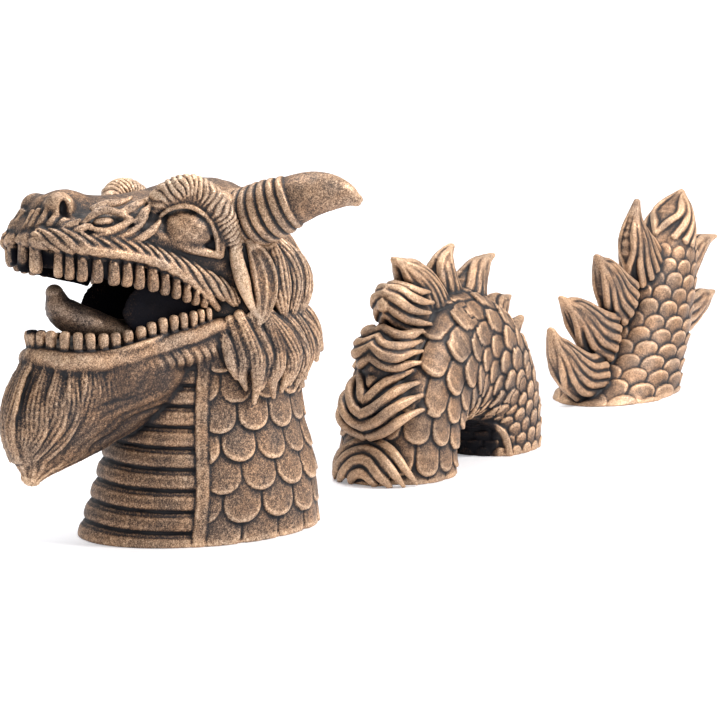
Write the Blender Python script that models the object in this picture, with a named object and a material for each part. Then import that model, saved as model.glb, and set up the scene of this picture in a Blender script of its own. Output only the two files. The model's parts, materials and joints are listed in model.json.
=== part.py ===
"""Three-piece dragon sculpture set: head on its neck, one arched body hump and the tail.

Each piece stands free on the ground. +X runs along the body line from the head to the tail and
+Z is up. Sizes and tables are in millimetres, in the frame of their own casting: origin at the
centre of its footprint, ground at z = 0, snout towards -X, the dragon's left towards -Y.
"""

import math

import bpy
import numpy as np

MM = 0.001
GAP = 0.3  # clearance between a bonded piece and its socket
WALL = 14.0  # nominal wall of the hollow castings

HEAD_TURN = -25.5  # degrees about +Z: swings the snout towards +Y
HUMP_OFFSET = (389.0, -30.0)  # footprint centre from the head's
TAIL_OFFSET = (833.0, 0.0)
LAYOUT_CENTRE = (440.5, -18.1)  # centre of the whole set from the head's, put at x = y = 0

HEAD_TILT = 7.0  # degrees the skull leans about X, +Y side down
TILT_AXIS_Z = 250.0

ACROSS = (0, 1, 0)  # thickness directions of the tubes
OUT_LEFT = (0, -1, 0)
CAP_ANGLES = (1.2, 0.75, 0.35)  # radians from the end section to each ring of a rounded cap


# ---- geometry

def spline(points, count):
    """Catmull-Rom curve through the points, sampled evenly between them."""
    points = np.array(points, float)
    last = len(points) - 1
    t = np.linspace(0, last, count)
    i = np.minimum(t.astype(int), last - 1)
    u = (t - i)[:, None]
    before, after = 2 * points[0] - points[1], 2 * points[-1] - points[-2]
    padded = np.vstack([before, points, after])
    a, b, c, d = padded[i], padded[i + 1], padded[i + 2], padded[i + 3]
    return 0.5 * (
        2 * b + (c - a) * u + (2 * a - 5 * b + 4 * c - d) * u * u + (3 * b - a - 3 * c + d) * u**3
    )


def unit(vectors):
    return vectors / np.maximum(np.linalg.norm(vectors, axis=-1, keepdims=True), 1e-9)


def reflect(point):
    """The point mirrored across the head's leaning plane of symmetry."""
    tilt = math.radians(HEAD_TILT)
    normal = np.array((0.0, math.cos(tilt), -math.sin(tilt)))
    distance = (np.array(point, float) - (0, 0, TILT_AXIS_Z)) @ normal
    return np.array(point, float) - 2 * distance * normal


def reflect_rows(rows):
    return [(*reflect(row[:3]), *row[3:]) for row in rows]


def lean(rows):
    """Rows of the head's middle, moved on to its leaning plane of symmetry."""
    slope = math.tan(math.radians(HEAD_TILT))
    return [(x, y + (z - TILT_AXIS_Z) * slope, z, *radii) for x, y, z, *radii in rows]


class Solid:
    """Closed tubes collected as points and faces; overlapping ones are merged later."""

    def __init__(self):
        self.points = []
        self.faces = []

    def skin(self, rings, start_tip, end_tip):
        """Joins rings of points into a closed skin that faces outwards."""
        base, first_face = len(self.points), len(self.faces)
        sides = len(rings[0])
        for ring in rings:
            self.points += [tuple(point) for point in ring]
        self.points += [tuple(start_tip), tuple(end_tip)]
        start = base + sides * len(rings)
        end = start + 1
        last_ring = start - sides
        for j in range(sides):
            k = (j + 1) % sides
            self.faces.append((start, base + k, base + j))
            for low in range(base, last_ring, sides):
                high = low + sides
                self.faces.append((low + j, low + k, high + k, high + j))
            self.faces.append((end, last_ring + j, last_ring + k))
        volume = 0.0
        for face in self.faces[first_face:]:
            corner = np.array(self.points[face[0]])
            for p, q in zip(face[1:], face[2:]):
                volume += corner @ np.cross(self.points[p], self.points[q])
        if volume < 0:
            self.faces[first_face:] = [face[::-1] for face in self.faces[first_face:]]

    def tube(self, rows, up=(0, 0, 1), exponent=2.0, sides=20, grow=0.0, level=False,
             mirror=False, dense=3):
        """Superelliptic tube through rows of (x, y, z, half width, half thickness).

        up is the thickness side, dense the number of sections per row. level keeps the
        sections horizontal and the ends flat; otherwise the ends are rounded.
        """
        stations = spline(rows, dense * (len(rows) - 1) + 1)
        centres = stations[:, :3]
        widths = np.maximum(stations[:, 3], 0.6) + grow
        depths = np.maximum(stations[:, 4], 0.6) + grow
        along = unit(np.gradient(centres, axis=0))
        if level:
            rise = 1.0 if centres[-1, 2] > centres[0, 2] else -1.0
            along = np.repeat([[0, 0, rise]], len(centres), 0)
        ups = np.repeat([np.array(up, float)], len(centres), 0)
        depth_axes = unit(ups - (ups * along).sum(1, keepdims=True) * along)
        width_axes = np.cross(along, depth_axes)
        angles = np.arange(sides) * 2 * math.pi / sides
        cosines, sines = np.cos(angles), np.sin(angles)
        section_x = np.sign(cosines) * np.abs(cosines) ** (2 / exponent)
        section_y = np.sign(sines) * np.abs(sines) ** (2 / exponent)

        def ring(i, scale, shift):
            centre = centres[i] + along[i] * shift
            return [
                centre + width_axes[i] * widths[i] * scale * x
                + depth_axes[i] * depths[i] * scale * y
                for x, y in zip(section_x, section_y)
            ]

        start_cap = 0.0 if level else min(widths[0], depths[0])
        end_cap = 0.0 if level else min(widths[-1], depths[-1])
        cap_angles = () if level else CAP_ANGLES
        rings = [ring(0, math.cos(w), -start_cap * math.sin(w)) for w in cap_angles]
        rings += [ring(i, 1, 0) for i in range(len(centres))]
        rings += [ring(-1, math.cos(w), end_cap * math.sin(w)) for w in cap_angles[::-1]]
        tips = centres[0] - along[0] * start_cap, centres[-1] + along[-1] * end_cap
        self.skin(rings, *tips)
        if mirror:
            mirrored = [[reflect(point) for point in ring_][::-1] for ring_ in rings]
            self.skin(mirrored, *[reflect(tip) for tip in tips])

    def ball(self, centre, radii, mirror=False):
        """Ellipsoid with its poles cut at 98 % of the vertical radius."""
        x, y, z = centre
        rows = []
        for i in range(7):
            height = z - radii[2] * 0.98 + radii[2] * 1.96 * i / 6
            scale = math.sqrt(1 - ((height - z) / radii[2]) ** 2)
            rows.append((x, y, height, radii[0] * scale, radii[1] * scale))
        self.tube(rows, up=ACROSS, level=True, mirror=mirror, dense=2)

    def build(self, name):
        mesh = bpy.data.meshes.new(name)
        mesh.from_pydata([tuple(v * MM for v in point) for point in self.points], [], self.faces)
        mesh.update()
        obj = bpy.data.objects.new(name, mesh)
        bpy.context.scene.collection.objects.link(obj)
        return obj


def tube_object(name, rows, **shape):
    solid = Solid()
    solid.tube(rows, **shape)
    return solid.build(name)


# ---- modifiers, materials and frames

def helper(obj):
    obj.hide_render = True
    obj.display_type = "WIRE"
    return obj


def boolean(obj, other, operation="DIFFERENCE"):
    """Cuts a helper body out of the object, or joins it on."""
    helper(other)
    modifier = obj.modifiers.new(operation.lower() + "_" + other.name, "BOOLEAN")
    modifier.object = other
    modifier.operation = operation
    modifier.solver = "EXACT"


def cut_ground(casting, name):
    """Trims everything below z = 0."""
    outline = ((-400, -300), (400, -300), (400, 300), (-400, 300))
    box = Solid()
    box.points = [(x, y, z) for z in (-100, 0) for x, y in outline]
    box.faces = [
        (0, 3, 2, 1), (4, 5, 6, 7), (0, 1, 5, 4), (1, 2, 6, 5), (2, 3, 7, 6), (3, 0, 4, 7),
    ]
    boolean(casting, box.build(name))


def fuse(obj, voxel, ratio):
    """Merges the overlapping tubes into one closed skin and thins it out."""
    remesh = obj.modifiers.new("fuse", "REMESH")
    remesh.mode = "VOXEL"
    remesh.voxel_size = voxel * MM
    remesh.adaptivity = 0.0
    remesh.use_smooth_shade = True
    relax = obj.modifiers.new("relax", "SMOOTH")
    relax.factor = 0.5
    relax.iterations = 2
    thin = obj.modifiers.new("thin", "DECIMATE")
    thin.decimate_type = "COLLAPSE"
    thin.ratio = ratio
    thin.use_collapse_triangulate = True


def bronze(name, colour, roughness=0.6):
    material = bpy.data.materials.new(name)
    material.use_nodes = True
    inputs = material.node_tree.nodes["Principled BSDF"].inputs
    inputs["Base Color"].default_value = (*colour, 1)
    inputs["Roughness"].default_value = roughness
    inputs["Metallic"].default_value = 0.25
    return material


def finish(obj, material, frame):
    """Gives the piece its material and puts it and its helper bodies in the frame."""
    obj.data.materials.append(material)
    for face in obj.data.polygons:
        face.use_smooth = True
    obj.parent = frame
    for modifier in obj.modifiers:
        if modifier.type == "BOOLEAN":
            modifier.object.parent = frame


def footing(name, offset=(0, 0), turn=0):
    """Empty at the centre of a casting's footprint."""
    empty = bpy.data.objects.new(name, None)
    x, y = offset
    empty.location = ((x - LAYOUT_CENTRE[0]) * MM, (y - LAYOUT_CENTRE[1]) * MM, 0)
    empty.rotation_euler = (0, 0, math.radians(turn))
    bpy.context.scene.collection.objects.link(empty)
    return empty


# ---- head: neck, skull, jaws, beard and mane in one hollow casting
# Rows of all tube tables: x, y, z, half width, half thickness.
# Tables at y = 0 follow the middle; those at y < 0 are the left side and get mirrored.

NECK_BASE = (118.0, 83.0)  # half length and half width of the neck's footprint
NECK_CORE_TOP = 165.0
NECK = [
    (0, 0, -12, NECK_BASE[0], 83.5), (0, 0, 0, *NECK_BASE), (9, 0, 50, 108, 78),
    (10, 0, 100, 94, 69), (15, 0, 150, 86, 63), (21, 0, 200, 76, 59), (22, 0, 240, 62, 50),
]
NECK_CORE = [
    (0, 0, -40, NECK_BASE[0] - WALL, NECK_BASE[1] - WALL),
    (0, 0, 0, NECK_BASE[0] - WALL, NECK_BASE[1] - WALL),
    (7, 0, 60, 94, 62), (9, 0, 110, 80, 52),
    (14, 0, NECK_CORE_TOP - 15, 60, 40), (14, 0, NECK_CORE_TOP, 30, 20),
]
SKULL = [
    (-168, 0, 284, 34, 12), (-148, 0, 285, 43, 17), (-120, 0, 281, 49, 22), (-85, 0, 275, 53, 31),
    (-50, 0, 268, 58, 42), (-10, 0, 259, 62, 52), (25, 0, 250, 62, 57), (46, 0, 240, 54, 50),
]
CROWN = [(-60, 0, 292, 30, 14), (-20, 0, 300, 40, 18), (20, 0, 298, 44, 22), (46, 0, 280, 40, 28)]
JAW = [
    (-142, 0, 170, 24, 8), (-124, 0, 166, 40, 13), (-95, 0, 168, 50, 18), (-60, 0, 174, 55, 22),
    (-25, 0, 180, 59, 26), (20, 0, 190, 60, 40),
]
BEARD = [
    (-98, 0, 178, 80, 54), (-120, 0, 150, 68, 46), (-149, 0, 125, 55, 36), (-169, 0, 104, 42, 27),
    (-180, 0, 84, 26, 17), (-186, 0, 66, 8, 7),
]
NOSE = [(-146, 0, 296, 24, 20), (-131, 0, 298, 24, 21), (-116, 0, 294, 22, 18)]
NOSE_WING = [(-164, -18, 281, 13, 11), (-154, -23, 286, 13, 11), (-142, -25, 287, 12, 10)]
BROW = [
    (-63, -30, 296, 9, 8), (-58, -38, 308, 11, 10), (-46, -44, 315, 12, 11),
    (-32, -50, 316, 12, 11), (-18, -55, 309, 12, 11), (-8, -58, 296, 11, 10),
    (2, -61, 276, 11, 9), (8, -64, 250, 10, 8), (14, -68, 222, 9, 7), (17, -72, 202, 6, 6),
]
EYE_CENTRE = (-38, -44, 280)
EYE_RADII = (24, 16, 21)
SIDE_MANE = [
    [(18, -62, 262, 14, 10), (26, -68, 236, 15, 11), (22, -72, 212, 12, 10), (12, -74, 196, 7, 7)],
    [(36, -42, 258, 24, 20), (54, -40, 238, 26, 22), (64, -38, 212, 24, 20),
     (62, -40, 196, 16, 14)],
    [(8, -58, 200, 20, 14), (16, -66, 175, 20, 12), (24, -68, 152, 16, 10), (28, -70, 132, 7, 6)],
    [(40, -52, 205, 24, 16), (52, -56, 175, 22, 14), (52, -58, 148, 16, 10), (50, -62, 128, 7, 6)],
    [(62, -36, 205, 24, 20), (76, -38, 175, 22, 16), (84, -40, 150, 16, 12), (88, -42, 132, 7, 6)],
    [(-22, -56, 190, 22, 10), (-14, -62, 170, 18, 9), (-8, -66, 154, 8, 6)],
]
MIDDLE_MANE = [
    (52, 0, 236, 34, 36), (66, 0, 205, 28, 34), (84, 0, 170, 24, 26), (112, 0, 142, 10, 10),
]
GAPE = [  # the open mouth
    (-215, 0, 228, 90, 46), (-190, 0, 228, 90, 44), (-160, 0, 226, 90, 42), (-129, 0, 221, 90, 40),
    (-105, 0, 221, 90, 37), (-81, 0, 220, 90, 31), (-62, 0, 219, 90, 25), (-42, 0, 214, 90, 17),
    (-27, 0, 211, 90, 10), (-20, 0, 210, 90, 5),
]
THROAT = [
    (-170, 0, 232, 24, 36), (-145, 0, 228, 36, 43), (-110, 0, 225, 41, 45), (-70, 0, 218, 43, 42),
    (-30, 0, 208, 38, 32), (5, 0, 196, 28, 22), (28, 0, 186, 16, 14),
]
LOWER_LIP = [
    (-4, -61, 197, 8, 8), (-23, -61, 194, 8, 8), (-42, -60, 189, 8, 8), (-66, -58, 184, 8, 8),
    (-92, -56, 178, 8, 8), (-116, -54, 174, 8, 8), (-140, -50, 173, 8, 8), (-157, -40, 174, 8, 8),
    (-167, -25, 175, 8, 8), (-170, -9, 175, 8, 8), (-170, -7, 175, 8, 8),
]
UPPER_TEETH = [
    (-22, -56, 219, 5, 6), (-44, -56, 228, 5, 9), (-79, -55, 243, 5, 12), (-105, -53, 250, 5, 12),
    (-126, -50, 253, 5, 12), (-150, -45, 258, 5, 12), (-166, -36, 262, 5, 12),
    (-176, -21, 264, 5, 12), (-180, -4, 264, 5, 12), (-180, 1, 264, 5, 12),
]
LOWER_TEETH = [
    (-24, -58, 203, 5, 8), (-59, -56, 200, 5, 9), (-81, -55, 196, 5, 9), (-104, -53, 190, 5, 9),
    (-137, -47, 187, 5, 10), (-153, -37, 188, 5, 10), (-162, -23, 190, 5, 10),
    (-164, -9, 190, 5, 10), (-164, -7, 190, 5, 10),
]
CHEEK = [  # wall inside the teeth at the corner of the mouth
    (-98, -46, 222, 3.5, 30), (-80, -47, 220, 3.5, 31), (-55, -48, 217, 3.5, 26),
    (-30, -49, 211, 3.5, 14), (-16, -49, 209, 3.5, 8),
]
HORN = [
    (25, -43, 287, 27, 27), (32, -56, 292, 27.5, 27.5), (40, -68, 298, 25.5, 25.5),
    (51, -80, 304, 23, 23), (62, -90, 309, 20, 20), (74, -99, 311, 16.5, 16.5),
    (86, -105, 310, 12, 12), (97, -110, 305, 7, 7),
]
TONGUE = [
    (-146, 0, 226, 14, 7), (-142, 0, 210, 22, 9), (-127, 0, 200, 27, 11), (-108, 0, 196, 29, 9),
    (-85, 0, 192, 28, 8), (-55, 0, 190, 26, 8), (-25, 0, 188, 22, 8), (0, 0, 184, 16, 8),
]


def head_body():
    head = Solid()
    head.tube(NECK, up=ACROSS, level=True, sides=32)
    head.tube(lean(SKULL), exponent=2.3, sides=28)
    head.tube(lean(JAW), exponent=2.3, sides=28)
    head.tube(lean(BEARD), up=ACROSS, level=True, sides=24)
    head.tube(lean(CROWN))
    head.tube(lean(NOSE))
    for rows in SIDE_MANE:
        head.tube(rows, up=OUT_LEFT, mirror=True, sides=14)
    head.tube(lean(MIDDLE_MANE), up=ACROSS, sides=16)
    head.tube(BROW, up=OUT_LEFT, mirror=True, sides=12)
    head.tube(NOSE_WING, mirror=True, sides=14)
    head.ball(EYE_CENTRE, EYE_RADII, mirror=True)
    casting = head.build("head_casting")
    fuse(casting, voxel=3.4, ratio=0.045)
    return casting


def lip_and_teeth():
    rims = Solid()
    for rows, sides in ((LOWER_LIP, 10), (UPPER_TEETH, 8), (LOWER_TEETH, 8), (CHEEK, 12)):
        rims.tube(rows, mirror=True, sides=sides)
    body = rims.build("lip_and_teeth")
    fuse(body, voxel=2.6, ratio=0.07)
    return body


def bonded_piece(casting, name, rows, sides, colour, frame):
    """A separate piece, and its socket cut into the casting."""
    piece = tube_object(name, rows, sides=sides, dense=2)
    boolean(casting, tube_object(name + "_socket", rows, sides=sides, dense=2, grow=GAP))
    finish(piece, bronze(name + "_bronze", colour), frame)


def build_head(frame):
    casting = head_body()
    boolean(casting, tube_object("gape_cutter", lean(GAPE), exponent=4, sides=24))
    boolean(casting, tube_object("throat_cutter", lean(THROAT)))
    boolean(casting, lip_and_teeth(), "UNION")
    boolean(casting, tube_object("neck_core", NECK_CORE, up=ACROSS, level=True, sides=32, dense=2))
    cut_ground(casting, "head_ground")
    for name, rows in (("horn_left", HORN), ("horn_right", reflect_rows(HORN))):
        bonded_piece(casting, name, rows, sides=18, colour=(0.33, 0.22, 0.14), frame=frame)
    bonded_piece(
        casting, "tongue", lean(TONGUE), sides=16, colour=(0.12, 0.10, 0.09), frame=frame
    )
    finish(casting, bronze("head_bronze", colour=(0.30, 0.20, 0.12), roughness=0.65), frame)


# ---- hump: an arch of the body with a flame crest along its back

FRONT_LEG = (51, 54)  # half length and half width where the leg meets the ground
REAR_LEG = (54, 54)
HUMP_PATH = [  # half width in the arch's plane, half thickness across it
    (-82, 0, -30, *FRONT_LEG), (-82, 0, 0, *FRONT_LEG), (-80, 0, 30, 51, 54),
    (-68, 0, 66, 54, 55), (-38, 0, 96, 60, 54), (4, 0, 107, 66, 52), (46, 0, 96, 62, 54),
    (78, 0, 64, 57, 55), (90, 0, 30, 54, 54), (92, 0, 0, *REAR_LEG), (92, 0, -30, *REAR_LEG),
]
HUMP_FINS = [
    [(-96, 0, 16, 26, 44), (-122, 0, 18, 24, 44), (-138, 0, 14, 16, 37)],
    [(-92, 0, 70, 30, 40), (-120, 0, 76, 24, 38), (-137, 0, 72, 16, 31)],
    [(-74, 0, 114, 30, 34), (-100, 0, 124, 26, 31), (-118, 0, 126, 17, 25)],
    [(-56, 0, 146, 30, 30), (-80, 0, 168, 24, 24), (-96, 0, 175, 15, 17)],
    [(-30, 0, 152, 32, 24), (-50, 0, 184, 24, 17), (-74, 0, 208, 10, 10), (-88, 0, 214, 4, 4)],
    [(0, 0, 158, 30, 20), (0, 0, 186, 20, 14), (8, 0, 206, 10, 7), (21, 0, 215, 3, 3)],
    [(44, 0, 150, 32, 22), (64, 0, 174, 22, 14), (86, 0, 191, 9, 7), (104, 0, 196, 3, 3)],
    [(82, 0, 122, 32, 26), (108, 0, 136, 18, 14), (130, 0, 144, 6, 6)],
    [(100, 0, 90, 26, 18), (136, 0, 112, 14, 9), (168, 0, 125, 4, 4)],
]
ARCH_X = 3  # middle of the opening under the hump
ARCH_HALF_WIDTH = 34.0
ARCH_HEIGHT = 40.0
ARCH_REACH = 90  # the cutter's half length across the hump
ARCH_OUTLINE = [  # x as a share of the half width, z as a share of the height
    (-1.0, -1.5), (-1.0, 0), (-0.9, 0.45), (-0.66, 0.75), (-0.3, 0.95), (0, 1),
    (0.33, 0.95), (0.66, 0.775), (0.9, 0.475), (1.0, 0), (1.0, -1.5),
]


def arch_cutter():
    ends = (-ARCH_REACH, ARCH_REACH)
    rings = [
        [(ARCH_X + ARCH_HALF_WIDTH * u, y, ARCH_HEIGHT * v) for u, v in ARCH_OUTLINE]
        for y in ends
    ]
    arch = Solid()
    arch.skin(rings, *[(ARCH_X, y, -10) for y in ends])
    return arch.build("arch_cutter")


def leg_core(name, x, leg):
    length, width = leg[0] - WALL, leg[1] - WALL
    rows = [
        (x, 0, -40, length, width), (x, 0, 0, length, width), (x, 0, 28, length - 4, 34),
        (x * 0.92, 0, 50, length - 12, 24), (x * 0.88, 0, 60, 10, 10),
    ]
    return tube_object(name, rows, up=ACROSS, level=True, sides=24, dense=2)


def build_hump(frame):
    hump = Solid()
    hump.tube(HUMP_PATH, up=ACROSS, exponent=2.5, sides=32, dense=4)
    for rows in HUMP_FINS:
        hump.tube(rows, up=ACROSS, sides=14)
    casting = hump.build("hump_casting")
    fuse(casting, voxel=3.4, ratio=0.055)
    boolean(casting, arch_cutter())
    boolean(casting, leg_core("hump_core_left", -84, FRONT_LEG))
    boolean(casting, leg_core("hump_core_right", 93, REAR_LEG))
    cut_ground(casting, "hump_ground")
    finish(casting, bronze("hump_bronze", colour=(0.28, 0.18, 0.11)), frame)


# ---- tail: leans back from its footprint and ends in flame-shaped fins

TAIL_BASE = (97.0, 60.0)  # half length and half width of the footprint
TAIL_BODY = [
    (-6, 0, -12, *TAIL_BASE), (0, 0, 0, *TAIL_BASE), (20, 0, 20, 86, 55), (50, 0, 48, 73, 50),
    (80, 0, 83, 62, 43), (100, 0, 118, 55, 39), (116, 0, 149, 43, 33), (127, 0, 175, 28, 24),
    (132, 0, 192, 14, 12),
]
TAIL_FINS = [
    [(-64, 0, 28, 30, 24), (-108, 0, 46, 30, 17), (-142, 0, 72, 19, 10), (-156, 0, 92, 6, 5)],
    [(-30, 0, 66, 34, 18), (-78, 0, 92, 28, 14), (-114, 0, 112, 13, 8), (-132, 0, 123, 4, 3)],
    [(10, 0, 102, 34, 18), (-20, 0, 126, 30, 13), (-40, 0, 148, 17, 9), (-50, 0, 158, 6, 4)],
    [(60, 0, 138, 34, 20), (42, 0, 164, 32, 15), (40, 0, 188, 17, 9), (45, 0, 210, 4, 3)],
    [(128, 0, 166, 30, 20), (136, 0, 182, 26, 15), (150, 0, 200, 14, 8), (156, 0, 209, 4, 3)],
    [(150, 0, 120, 28, 18), (184, 0, 134, 22, 12), (214, 0, 146, 12, 7), (246, 0, 149, 4, 3)],
    [(140, 0, 68, 28, 16), (184, 0, 74, 26, 12), (222, 0, 80, 13, 7), (244, 0, 83, 4, 3)],
]
TAIL_CORE = [
    (-8, 0, -40, 80, TAIL_BASE[1] - WALL), (0, 0, 0, 80, TAIL_BASE[1] - WALL),
    (24, 0, 26, 66, 40), (52, 0, 56, 50, 32), (74, 0, 84, 34, 22), (80, 0, 94, 12, 8),
]


def build_tail(frame):
    tail = Solid()
    tail.tube(TAIL_BODY, up=ACROSS, level=True, sides=32)
    for rows in TAIL_FINS:
        tail.tube(rows, up=ACROSS, sides=14)
    casting = tail.build("tail_casting")
    fuse(casting, voxel=3.2, ratio=0.06)
    boolean(casting, tube_object("tail_core", TAIL_CORE, up=ACROSS, level=True, sides=24, dense=2))
    cut_ground(casting, "tail_ground")
    finish(casting, bronze("tail_bronze", colour=(0.34, 0.22, 0.14)), frame)


for old in list(bpy.data.objects):
    bpy.data.objects.remove(old, do_unlink=True)

build_head(footing("head_footing", turn=HEAD_TURN))
build_hump(footing("hump_footing", HUMP_OFFSET))
build_tail(footing("tail_footing", TAIL_OFFSET))
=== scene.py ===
"""A horned, scaled creature in three resin castings on a white floor: head, humped arch and tail.

Each casting is sculpted in millimetres in its own frame, z up from the floor and the snout
towards -x, as a distance field that is meshed and placed on its mount. The near side is y < 0.
The head leans, so its two sides are mirrored in a tilted plane.
"""

import json
import math
from collections import namedtuple
from itertools import product

import bpy
import numpy as np
import openvdb
from mathutils import Matrix, Vector


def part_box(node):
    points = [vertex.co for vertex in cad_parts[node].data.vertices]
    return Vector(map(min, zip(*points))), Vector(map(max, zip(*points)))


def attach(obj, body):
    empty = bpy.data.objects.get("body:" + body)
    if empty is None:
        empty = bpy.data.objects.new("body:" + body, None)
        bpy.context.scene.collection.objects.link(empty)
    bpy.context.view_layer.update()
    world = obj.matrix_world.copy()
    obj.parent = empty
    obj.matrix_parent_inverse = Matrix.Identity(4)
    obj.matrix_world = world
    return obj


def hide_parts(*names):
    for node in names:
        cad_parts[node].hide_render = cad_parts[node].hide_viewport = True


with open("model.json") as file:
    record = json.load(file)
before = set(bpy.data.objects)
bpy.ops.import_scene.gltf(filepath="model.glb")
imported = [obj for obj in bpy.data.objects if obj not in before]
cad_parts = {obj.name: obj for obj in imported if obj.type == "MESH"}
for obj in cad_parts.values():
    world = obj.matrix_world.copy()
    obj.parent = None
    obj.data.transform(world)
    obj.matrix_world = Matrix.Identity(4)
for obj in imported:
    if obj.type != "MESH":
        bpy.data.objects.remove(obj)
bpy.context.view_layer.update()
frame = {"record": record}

MM = 0.001
FINE = 1.15  # grid step of the head
PIECE_STEP = FINE * 0.9  # horns and tongue
BODY_STEP = FINE * 1.05  # hump and tail
HEAD_TURN = -25.5  # degrees about z
TILT = math.radians(7.0)
TILT_AXIS_Z = 250.0
TILT_NORMAL = np.array((0.0, math.cos(TILT), -math.sin(TILT)))
RELIEF_REACH = 9  # surface patterns are worked out this near the surface
HEIGHT_UNIT = 330  # the z where the height attribute is 1
SIDEWAYS = (0, -1, 0)
f32 = np.float32


# ---------------------------------------------------------------- curves and rows
def spline(points, count):
    """count places on a Catmull-Rom curve through points."""
    known = np.array(points, float)
    place = np.linspace(0, len(known) - 1, count)
    i = np.minimum(place.astype(int), len(known) - 2)
    part = (place - i)[:, None]
    known = np.vstack([2 * known[0] - known[1], known, 2 * known[-1] - known[-2]])
    before, start, end, after = known[i], known[i + 1], known[i + 2], known[i + 3]
    square = (2 * before - 5 * start + 4 * end - after) * part * part
    cube = (3 * start - before - 3 * end + after) * part**3
    return 0.5 * (2 * start + (end - before) * part + square + cube)


def unit(vectors):
    return vectors / np.maximum(np.linalg.norm(vectors, axis=-1, keepdims=True), 1e-9)


def smooth(value, start, end):
    """0 before start, 1 after end."""
    part = np.clip((value - start) / (end - start), 0, 1)
    return part * part * (3 - 2 * part)


def fall(value, start, end):
    """1 before start, 0 after end."""
    return smooth(-value, -end, -start)


def midline(rows, slope=0.0):
    """Sweep rows from (x, z, half width, half thickness), with y = 0 or sloped about the axis."""
    x, z, width, thickness = np.array(rows, float).T
    return np.stack([x, (z - TILT_AXIS_Z) * slope, z, width, thickness], 1)


def lean(rows):
    """Sweep rows in the head's tilted middle plane."""
    return midline(rows, math.tan(TILT))


def widened(rows, by):
    rows = np.array(rows, float)
    rows[:, 3:] += by
    return rows


def thinned(rows, width, thickness):
    return np.array(rows, float) * (1, 1, 1, width, thickness)


# ---------------------------------------------------------------- shapes
# Where a relief is asked for: length run along the sweep, angle round it, place across its
# width and over its thickness (-1 to 1 at the surface), and the points themselves
Skin = namedtuple("Skin", "run angle across over points")


def oval_distance(x, y, z, half_x, half_y, half_z, power):
    """Distance to a rounded section, with x and y as shares of its half sizes."""
    across, over, beyond = x / half_x, y / half_y, z / half_z
    steep = np.sqrt((across / half_x) ** 2 + (over / half_y) ** 2 + (beyond / half_z) ** 2) + 1e-6
    radius = np.sqrt(across * across + over * over + beyond * beyond)
    if power == 2.0:
        level = radius + 1e-6
        return level * (level - 1) / steep, across, over
    edge = (np.abs(across) ** power + np.abs(over) ** power) ** (1 / power)
    level = np.sqrt(edge * edge + beyond * beyond) + 1e-6
    return (level - 1) * radius / steep, across, over


class Sweep:
    """A rounded tube along a spline through rows (x, y, z, half width, half thickness).

    A round tube leaves out the last column. up is the thickness side, per the segments between
    rows, cap the length of the two end caps, relief(skin) extra height.
    """

    def __init__(self, rows, up=(0, 0, 1), per=4, power=2.0, relief=None, cap=None):
        fine = spline(rows, per * (len(rows) - 1) + 1)
        self.centre = fine[:, :3]
        self.width, self.thickness = np.maximum(fine[:, 3], 0.5), np.maximum(fine[:, -1], 0.5)
        self.along = unit(np.gradient(self.centre, axis=0))
        upward = np.repeat(np.array(up, float)[None], len(fine), 0)
        upward = upward - (upward * self.along).sum(1, keepdims=True) * self.along
        self.up = unit(upward)
        self.side = np.cross(self.along, self.up)
        lengths = np.linalg.norm(np.diff(self.centre, axis=0), axis=1)
        self.run = np.concatenate([[0], np.cumsum(lengths)])
        self.power, self.relief = power, relief
        self.caps = cap or [min(self.width[i], self.thickness[i]) for i in (0, -1)]
        reach = 4.0
        margin = np.maximum(self.width, self.thickness)[:, None] + reach
        self.lo, self.hi = (self.centre - margin).min(0), (self.centre + margin).max(0)
        for end in (
            self.centre[0] - self.along[0] * self.caps[0],
            self.centre[-1] + self.along[-1] * self.caps[1],
        ):
            self.lo, self.hi = np.minimum(self.lo, end - reach), np.maximum(self.hi, end + reach)

    def locate(self, points):
        """The nearest segment to each point and the share of it that is passed."""
        best = np.full(len(points), 1e9, f32)
        index = np.zeros(len(points), np.int32)
        share = np.zeros(len(points), f32)
        centre = self.centre.astype(f32)
        for i in range(len(centre) - 1):
            segment = centre[i + 1] - centre[i]
            away = points - centre[i]
            part = np.clip((away @ segment) / f32(segment @ segment + 1e-9), 0, 1)
            away -= part[:, None] * segment
            square = np.einsum("ij,ij->i", away, away)
            nearer = square < best
            best[nearer], index[nearer], share[nearer] = square[nearer], i, part[nearer]
        return index, share

    def __call__(self, points):
        i, share = self.locate(points)

        def mix(values):
            values = values.astype(f32)
            part = share if values.ndim == 1 else share[:, None]
            return values[i] * (1 - part) + values[i + 1] * part

        away = points - mix(self.centre)
        x = np.einsum("ij,ij->i", away, mix(self.side))
        y = np.einsum("ij,ij->i", away, mix(self.up))
        z = np.einsum("ij,ij->i", away, mix(self.along))
        at_start = (i == 0) & (share <= 0)
        at_end = (i == len(self.centre) - 2) & (share >= 1)
        z = np.where(at_start | at_end, z, 0)
        cap = np.where(at_start, self.caps[0], self.caps[1]).astype(f32)
        dist, across, over = oval_distance(
            x, y, z, mix(self.width), mix(self.thickness), cap, self.power
        )
        if self.relief is not None:
            near = (dist < RELIEF_REACH) & (dist > -RELIEF_REACH)
            if near.any():
                across, over = across[near], over[near]
                angle = np.arctan2(over, across)
                skin = Skin(mix(self.run)[near], angle, across, over, points[near])
                dist[near] -= self.relief(skin)
        return dist


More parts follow.
